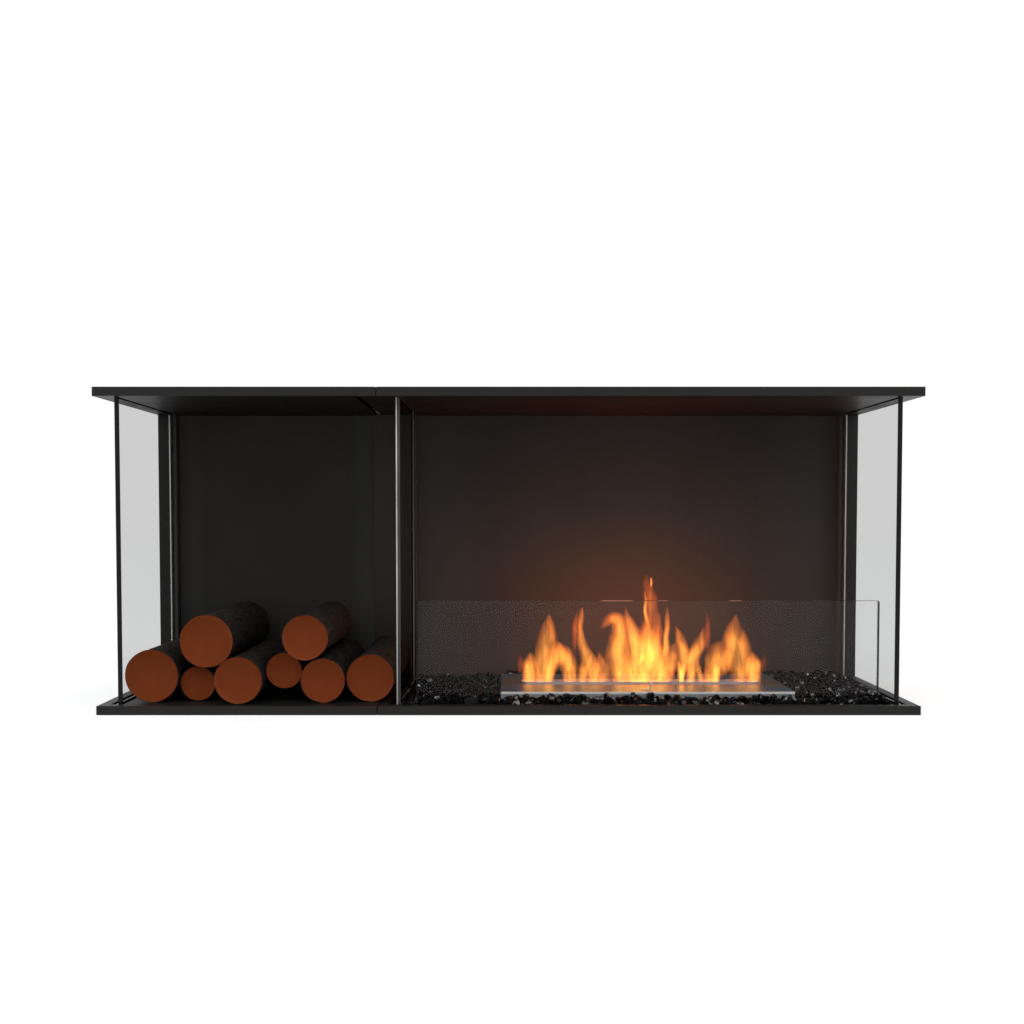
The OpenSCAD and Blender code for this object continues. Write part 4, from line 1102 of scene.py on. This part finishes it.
TONGUES = (
    Tongue(((-197, 26, 13), (-197, 46, 13.5), (-197, 62, 12), (-197, 73, 8), (-198, 81, 1)), 0.6, 3),
    Tongue(((-178, 26, 9), (-177, 51, 11), (-174, 79, 15), (-168, 103, 16), (-165, 125, 12), (-164, 140, 6),
            (-164, 150, 1)), 0.55),
    Tongue(((-166, 26, 7), (-164, 45, 9), (-159, 60, 13), (-153, 76, 18), (-150, 90, 15), (-151, 103, 2)),
            0.6, -5),
    Tongue(((-124, 26, 13), (-125, 45, 13), (-130, 62, 15), (-137, 78, 15), (-143, 90, 9), (-147, 99, 1.5)),
            0.58, 5),
    Tongue(((-104, 26, 6), (-103, 42, 8), (-105, 55, 6.5), (-106, 67, 1.5)), 0.6, -6),
    Tongue(((-80, 26, 15), (-84, 42, 14.5), (-90, 58, 13.5), (-97, 76, 10.5), (-102, 92, 8),
            (-107, 108, 5.5), (-109, 122, 4.5), (-108, 138, 4.5), (-105, 151, 5), (-104, 162, 1)), 0.72,
            -2),
    Tongue(((-117, 78, 3), (-117, 100, 6), (-116, 125, 6), (-114, 142, 5), (-112, 156, 1)), 0.16, 7),
    Tongue(((-63, 26, 8), (-64, 42, 10), (-67, 56, 10.5), (-70, 68, 8), (-73, 81, 1)), 0.42, 6),
    Tongue(((-27, 26, 17), (-36, 42, 18), (-41, 60, 18), (-43, 80, 18.5), (-39, 100, 16), (-36, 116, 14),
            (-36, 127, 10), (-38, 138, 2)), 0.52, 5),
    Tongue(((-34, 92, 3), (-36, 116, 12), (-38, 134, 15), (-48, 142, 12), (-60, 137, 9), (-70, 122, 1)),
            0.38, 2),
    Tongue(((-6, 26, 22), (-6, 48, 24), (-6, 70, 24), (-8, 92, 20), (-12, 108, 17), (-16, 121, 13),
            (-20, 135, 8.5), (-24, 148, 4.5), (-27, 162, 1)), 0.66, -3),
    Tongue(((8, 26, 29), (10, 50, 29), (11, 75, 27), (12, 95, 24), (10, 112, 19), (10, 124, 12),
            (12, 134, 3)), 0.7, -7),
    Tongue(((14, 84, 4), (15, 108, 13), (17, 126, 16), (21, 142, 12.5), (22, 156, 11), (18, 172, 11),
            (16, 187, 11), (13, 201, 9), (11, 211, 6), (10, 221, 1)), 0.24, 5),
    Tongue(((14, 122, 2), (11, 140, 3.5), (9, 155, 3.5), (8, 172, 3), (7, 192, 1)), 0.55, 0),
    Tongue(((18, 196, 1), (19, 206, 3.2), (18, 215, 1)), 0.6, 0),
    Tongue(((33, 84, 2), (33, 105, 6), (33, 122, 6), (34, 138, 4.5), (34, 152, 1)), 0.25, 4),
    Tongue(((43, 58, 2), (44, 76, 6), (45, 95, 6.5), (47, 115, 5), (48, 135, 4.5), (47, 150, 4),
            (46, 163, 1)), 0.45, -1),
    Tongue(((43, 26, 18), (38, 42, 19), (32, 56, 18), (26, 75, 15), (24, 92, 13), (24, 108, 12),
            (25, 120, 9), (26, 131, 2)), 0.55, 2),
    Tongue(((75, 28, 3), (76, 46, 6.5), (78, 60, 8), (79, 75, 9), (77, 89, 9), (73, 102, 8.5), (69, 115, 6),
            (64, 128, 1)), 0.62, 3),
    Tongue(((58, 36, 3), (55, 54, 10), (57, 74, 15), (60, 88, 12), (62, 98, 2)), 0.42, -4),
    Tongue(((74, 26, 4.5), (71, 42, 5.5), (68, 58, 4.5), (66, 69, 1)), 0.6, -7),
    Tongue(((91, 26, 7), (92, 42, 9), (93, 56, 10.5), (94, 69, 10.5), (98, 82, 10.5), (105, 95, 10),
            (110, 108, 8), (113, 126, 1)), 0.7, -3),
    Tongue(((110, 26, 5.5), (107, 42, 5.5), (104, 58, 4.5), (103, 67, 1)), 0.5, 5),
    Tongue(((121, 80, 3), (121, 100, 5.5), (121, 125, 5), (121, 138, 4), (120, 152, 1)), 0.15, 7),
    Tongue(((124, 26, 10), (126, 40, 13), (134, 52, 20), (140, 64, 25), (141, 76, 23), (140, 88, 17),
            (144, 97, 9), (147, 104, 1.5)), 0.5, -4),
    Tongue(((137, 26, 7), (137, 40, 7.5), (135, 54, 6.5), (134, 65, 1)), 0.75, 6),
    Tongue(((180, 26, 15), (181, 42, 17), (180, 59, 19), (176, 75, 22), (172, 92, 21), (170, 108, 19),
            (169, 121, 15), (171, 134, 10), (171, 148, 1)), 0.5, 2),
    Tongue(((203, 26, 11), (203, 46, 13.5), (202, 62, 14), (201, 73, 10), (200, 82, 2)), 0.6, -3),
    Tongue(((-216, 42, 2), (-216, 55, 6), (-216, 66, 7), (-217, 78, 1)), 0.1, 0),
    Tongue(((221, 44, 2), (222, 58, 6.5), (222, 67, 7), (222, 79, 1)), 0.05, 0),
)


@dataclass
class Flames:
    """The flames over the slot, as glowing shells one inside the other."""

    layers: int = 9
    flatness: float = 0.42
    waver: float = 2.4
    slot_height: float = 34.0
    least_rise: float = 30.0
    lamp_power: float = 0.95
    lamp_size: float = 0.02
    lamp_colour: Colour = (1.0, 0.43, 0.19)
    lamps: tuple[Pair, ...] = ((-162, 120), (-87, 115), (-27, 140), (15, 160), (93, 115), (168, 125))

    def build(self) -> None:
        """Model every layer of the flames and light their surroundings."""
        low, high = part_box("burner_deck")
        centre = (low + high) / 2
        for index in range(self.layers):
            depth = index / (self.layers - 1)
            layer = FlameLayer(f"flame_{round(depth * 100):03d}", depth)
            glow = join_all([self.shell(tongue, layer, centre) for tongue in TONGUES], f"flames_{index + 1}")
            glow.data.materials.append(layer.make())
            bpy.ops.object.shade_smooth()
            configure(glow, visible_diffuse=False, visible_shadow=False)
            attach(glow, "burner")
        LOG.info("flames: %d tongues", len(TONGUES))
        for x, z in self.lamps:
            lamp = hang_lamp("flame_lamp", "POINT", Vector((centre.x + x * MM, centre.y, z * MM)),
                             energy=self.lamp_power, color=self.lamp_colour,
                             shadow_soft_size=self.lamp_size)
            lamp.visible_camera = False

    def shell(self, tongue: Tongue, layer: FlameLayer, centre: Vector) -> Piece:
        """Model one closed shell of a tongue along its own line.

        Args:
            tongue: The tongue.
            layer: The layer that the shell belongs to.
            centre: The middle of the burner's deck.

        Returns:
            The shell.
        """
        across = centre.y + tongue.depth * MM
        line = configure(bpy.data.curves.new("shell", "CURVE"), dimensions="3D", bevel_depth=MM,
                         bevel_resolution=2, resolution_u=6, use_fill_caps=True)
        spline = line.splines.new("NURBS")
        spline.points.add(len(tongue.stations) - 1)
        for point, (x, z, half) in zip(spline.points, tongue.stations):
            configure(point, co=(centre.x + x * MM, across, z * MM, 1.0), radius=half * layer.width)
        configure(spline, use_endpoint_u=True, order_u=3)
        pick(put("shell", line))
        bpy.ops.object.convert(target="MESH")
        shell = bpy.context.object
        shell.data.transform(Matrix.Translation((0, across, 0)) @ Matrix.Diagonal((1, self.flatness, 1, 1))
                             @ Matrix.Translation((0, -across, 0)))
        self.finish_shell(shell, tongue)
        return shell

    def finish_shell(self, shell: Piece, tongue: Tongue) -> None:
        """Make a shell waver, and store its heat and how far up its tongue each point is.

        A tongue that curls down again is measured along its line, and any other by height.

        Args:
            shell: The shell.
            tongue: The tongue that it belongs to.
        """
        foot, tip = tongue.stations[0][1] * MM, tongue.stations[-1][1] * MM
        flying = foot > self.slot_height * MM
        curled = tip < max(z for _, z, _ in tongue.stations) * MM
        height = max(tip - foot, self.least_rise * MM)
        count = len(shell.data.vertices)
        rise = shell.data.attributes.new("rise", "FLOAT", "POINT")
        heat = shell.data.attributes.new("warmth", "FLOAT", "POINT")
        for index, vertex in enumerate(shell.data.vertices):
            climbed = index / count if curled else (vertex.co.z - foot) / height
            up = min(1.0, max(0.0, climbed))
            rise.data[index].value = up
            kindled = min(1.0, up * 4) if flying else 0.7 + 0.3 * min(1.0, up * 8)
            heat.data[index].value = tongue.heat * kindled
            swing = noise.noise(Vector((vertex.co.x * 22, tongue.depth, vertex.co.z * 48)))
            vertex.co.x += swing * self.waver * min(1.0, up * 3) * MM


@dataclass
class Studio:
    """The plain pale room, its soft light and the camera."""

    focal: float = 43.45
    sensor: float = 36.0
    pitch: float = 87.55
    eye: Triple = (-0.0053, -2.2349, 0.3273)
    shift: Pair = (0.00654, 0.0546)
    ambient: float = 0.8
    ambient_shade: Colour = (0.97, 0.985, 1.0)
    floor_shade: Colour = (0.5, 0.5, 0.5)
    floor_glow: float = 0.61
    aim: Triple = (0.0, 0.0, 0.25)

    def build(self) -> None:
        """Set up the camera, the world, the floor and the soft lamps."""
        self.camera()
        self.world()
        self.floor()
        self.softbox("key_light", (-0.9, -1.6, 1.9), 1.5, 16.0)
        self.softbox("fill_light", (1.5, -1.3, 1.5), 1.2, 7.0)
        scene = bpy.context.scene
        scene.view_settings.view_transform = "Standard"
        scene.cycles.transparent_max_bounces = 128
        LOG.info("studio ready")

    def camera(self) -> None:
        """Stand the camera where the photograph was taken from."""
        data = configure(bpy.data.cameras.new("camera"), lens=self.focal, sensor_width=self.sensor)
        data.shift_x, data.shift_y = self.shift
        turn = (math.radians(self.pitch), 0.0, 0.0)
        bpy.context.scene.camera = configure(put("camera", data), location=self.eye, rotation_euler=turn)

    def world(self) -> None:
        """Show white to the camera and in reflections, and light the object softly."""
        r = Recipe(bpy.data.worlds.new("white_room"))
        soft, white = (r.node("Background", {"Color": shade, "Strength": strength}).outputs["Background"]
                       for shade, strength in ((self.ambient_shade, self.ambient), (WHITE, 1.0)))
        bpy.context.scene.world = r.finish(r.cross(r.seen(), soft, white))

    def floor(self) -> None:
        """Lay a pale floor that clips to white where it is open and keeps the shadow."""
        clear_selection()
        bpy.ops.mesh.primitive_plane_add(size=24.0, location=(0.0, 0.0, 0.0))
        floor = added("floor")
        r = Recipe(bpy.data.materials.new("pale_floor"))
        matt = r.node("BsdfDiffuse", {"Color": self.floor_shade}).outputs["BSDF"]
        glow = r.node("Emission", {"Strength": r.times(r.seen(), self.floor_glow)})
        floor.data.materials.append(r.finish(r.both(matt, glow.outputs["Emission"])))

    def softbox(self, name: str, spot: Triple, size: float, power: float) -> None:
        """Hang a soft square lamp of so many metres and watts that points at the insert."""
        lamp = hang_lamp(name, "AREA", Vector(spot), shape="SQUARE", size=size, energy=power)
        lamp.rotation_euler = (Vector(self.aim) - Vector(spot)).to_track_quat("-Z", "Y").to_euler()


def main() -> None:
    """Build the insert's looks in order."""
    logging.basicConfig(level=logging.INFO, format="%(name)s: %(message)s")
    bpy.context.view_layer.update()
    Studio().build()
    Casing().dress()
    glazing = Glazing()
    glazing.dress()
    glazing.build()
    Burner().dress()
    Logs().build()
    StoneBed().build()
    Flames().build()
    clear_selection()


if __name__ == "__main__":
    main()
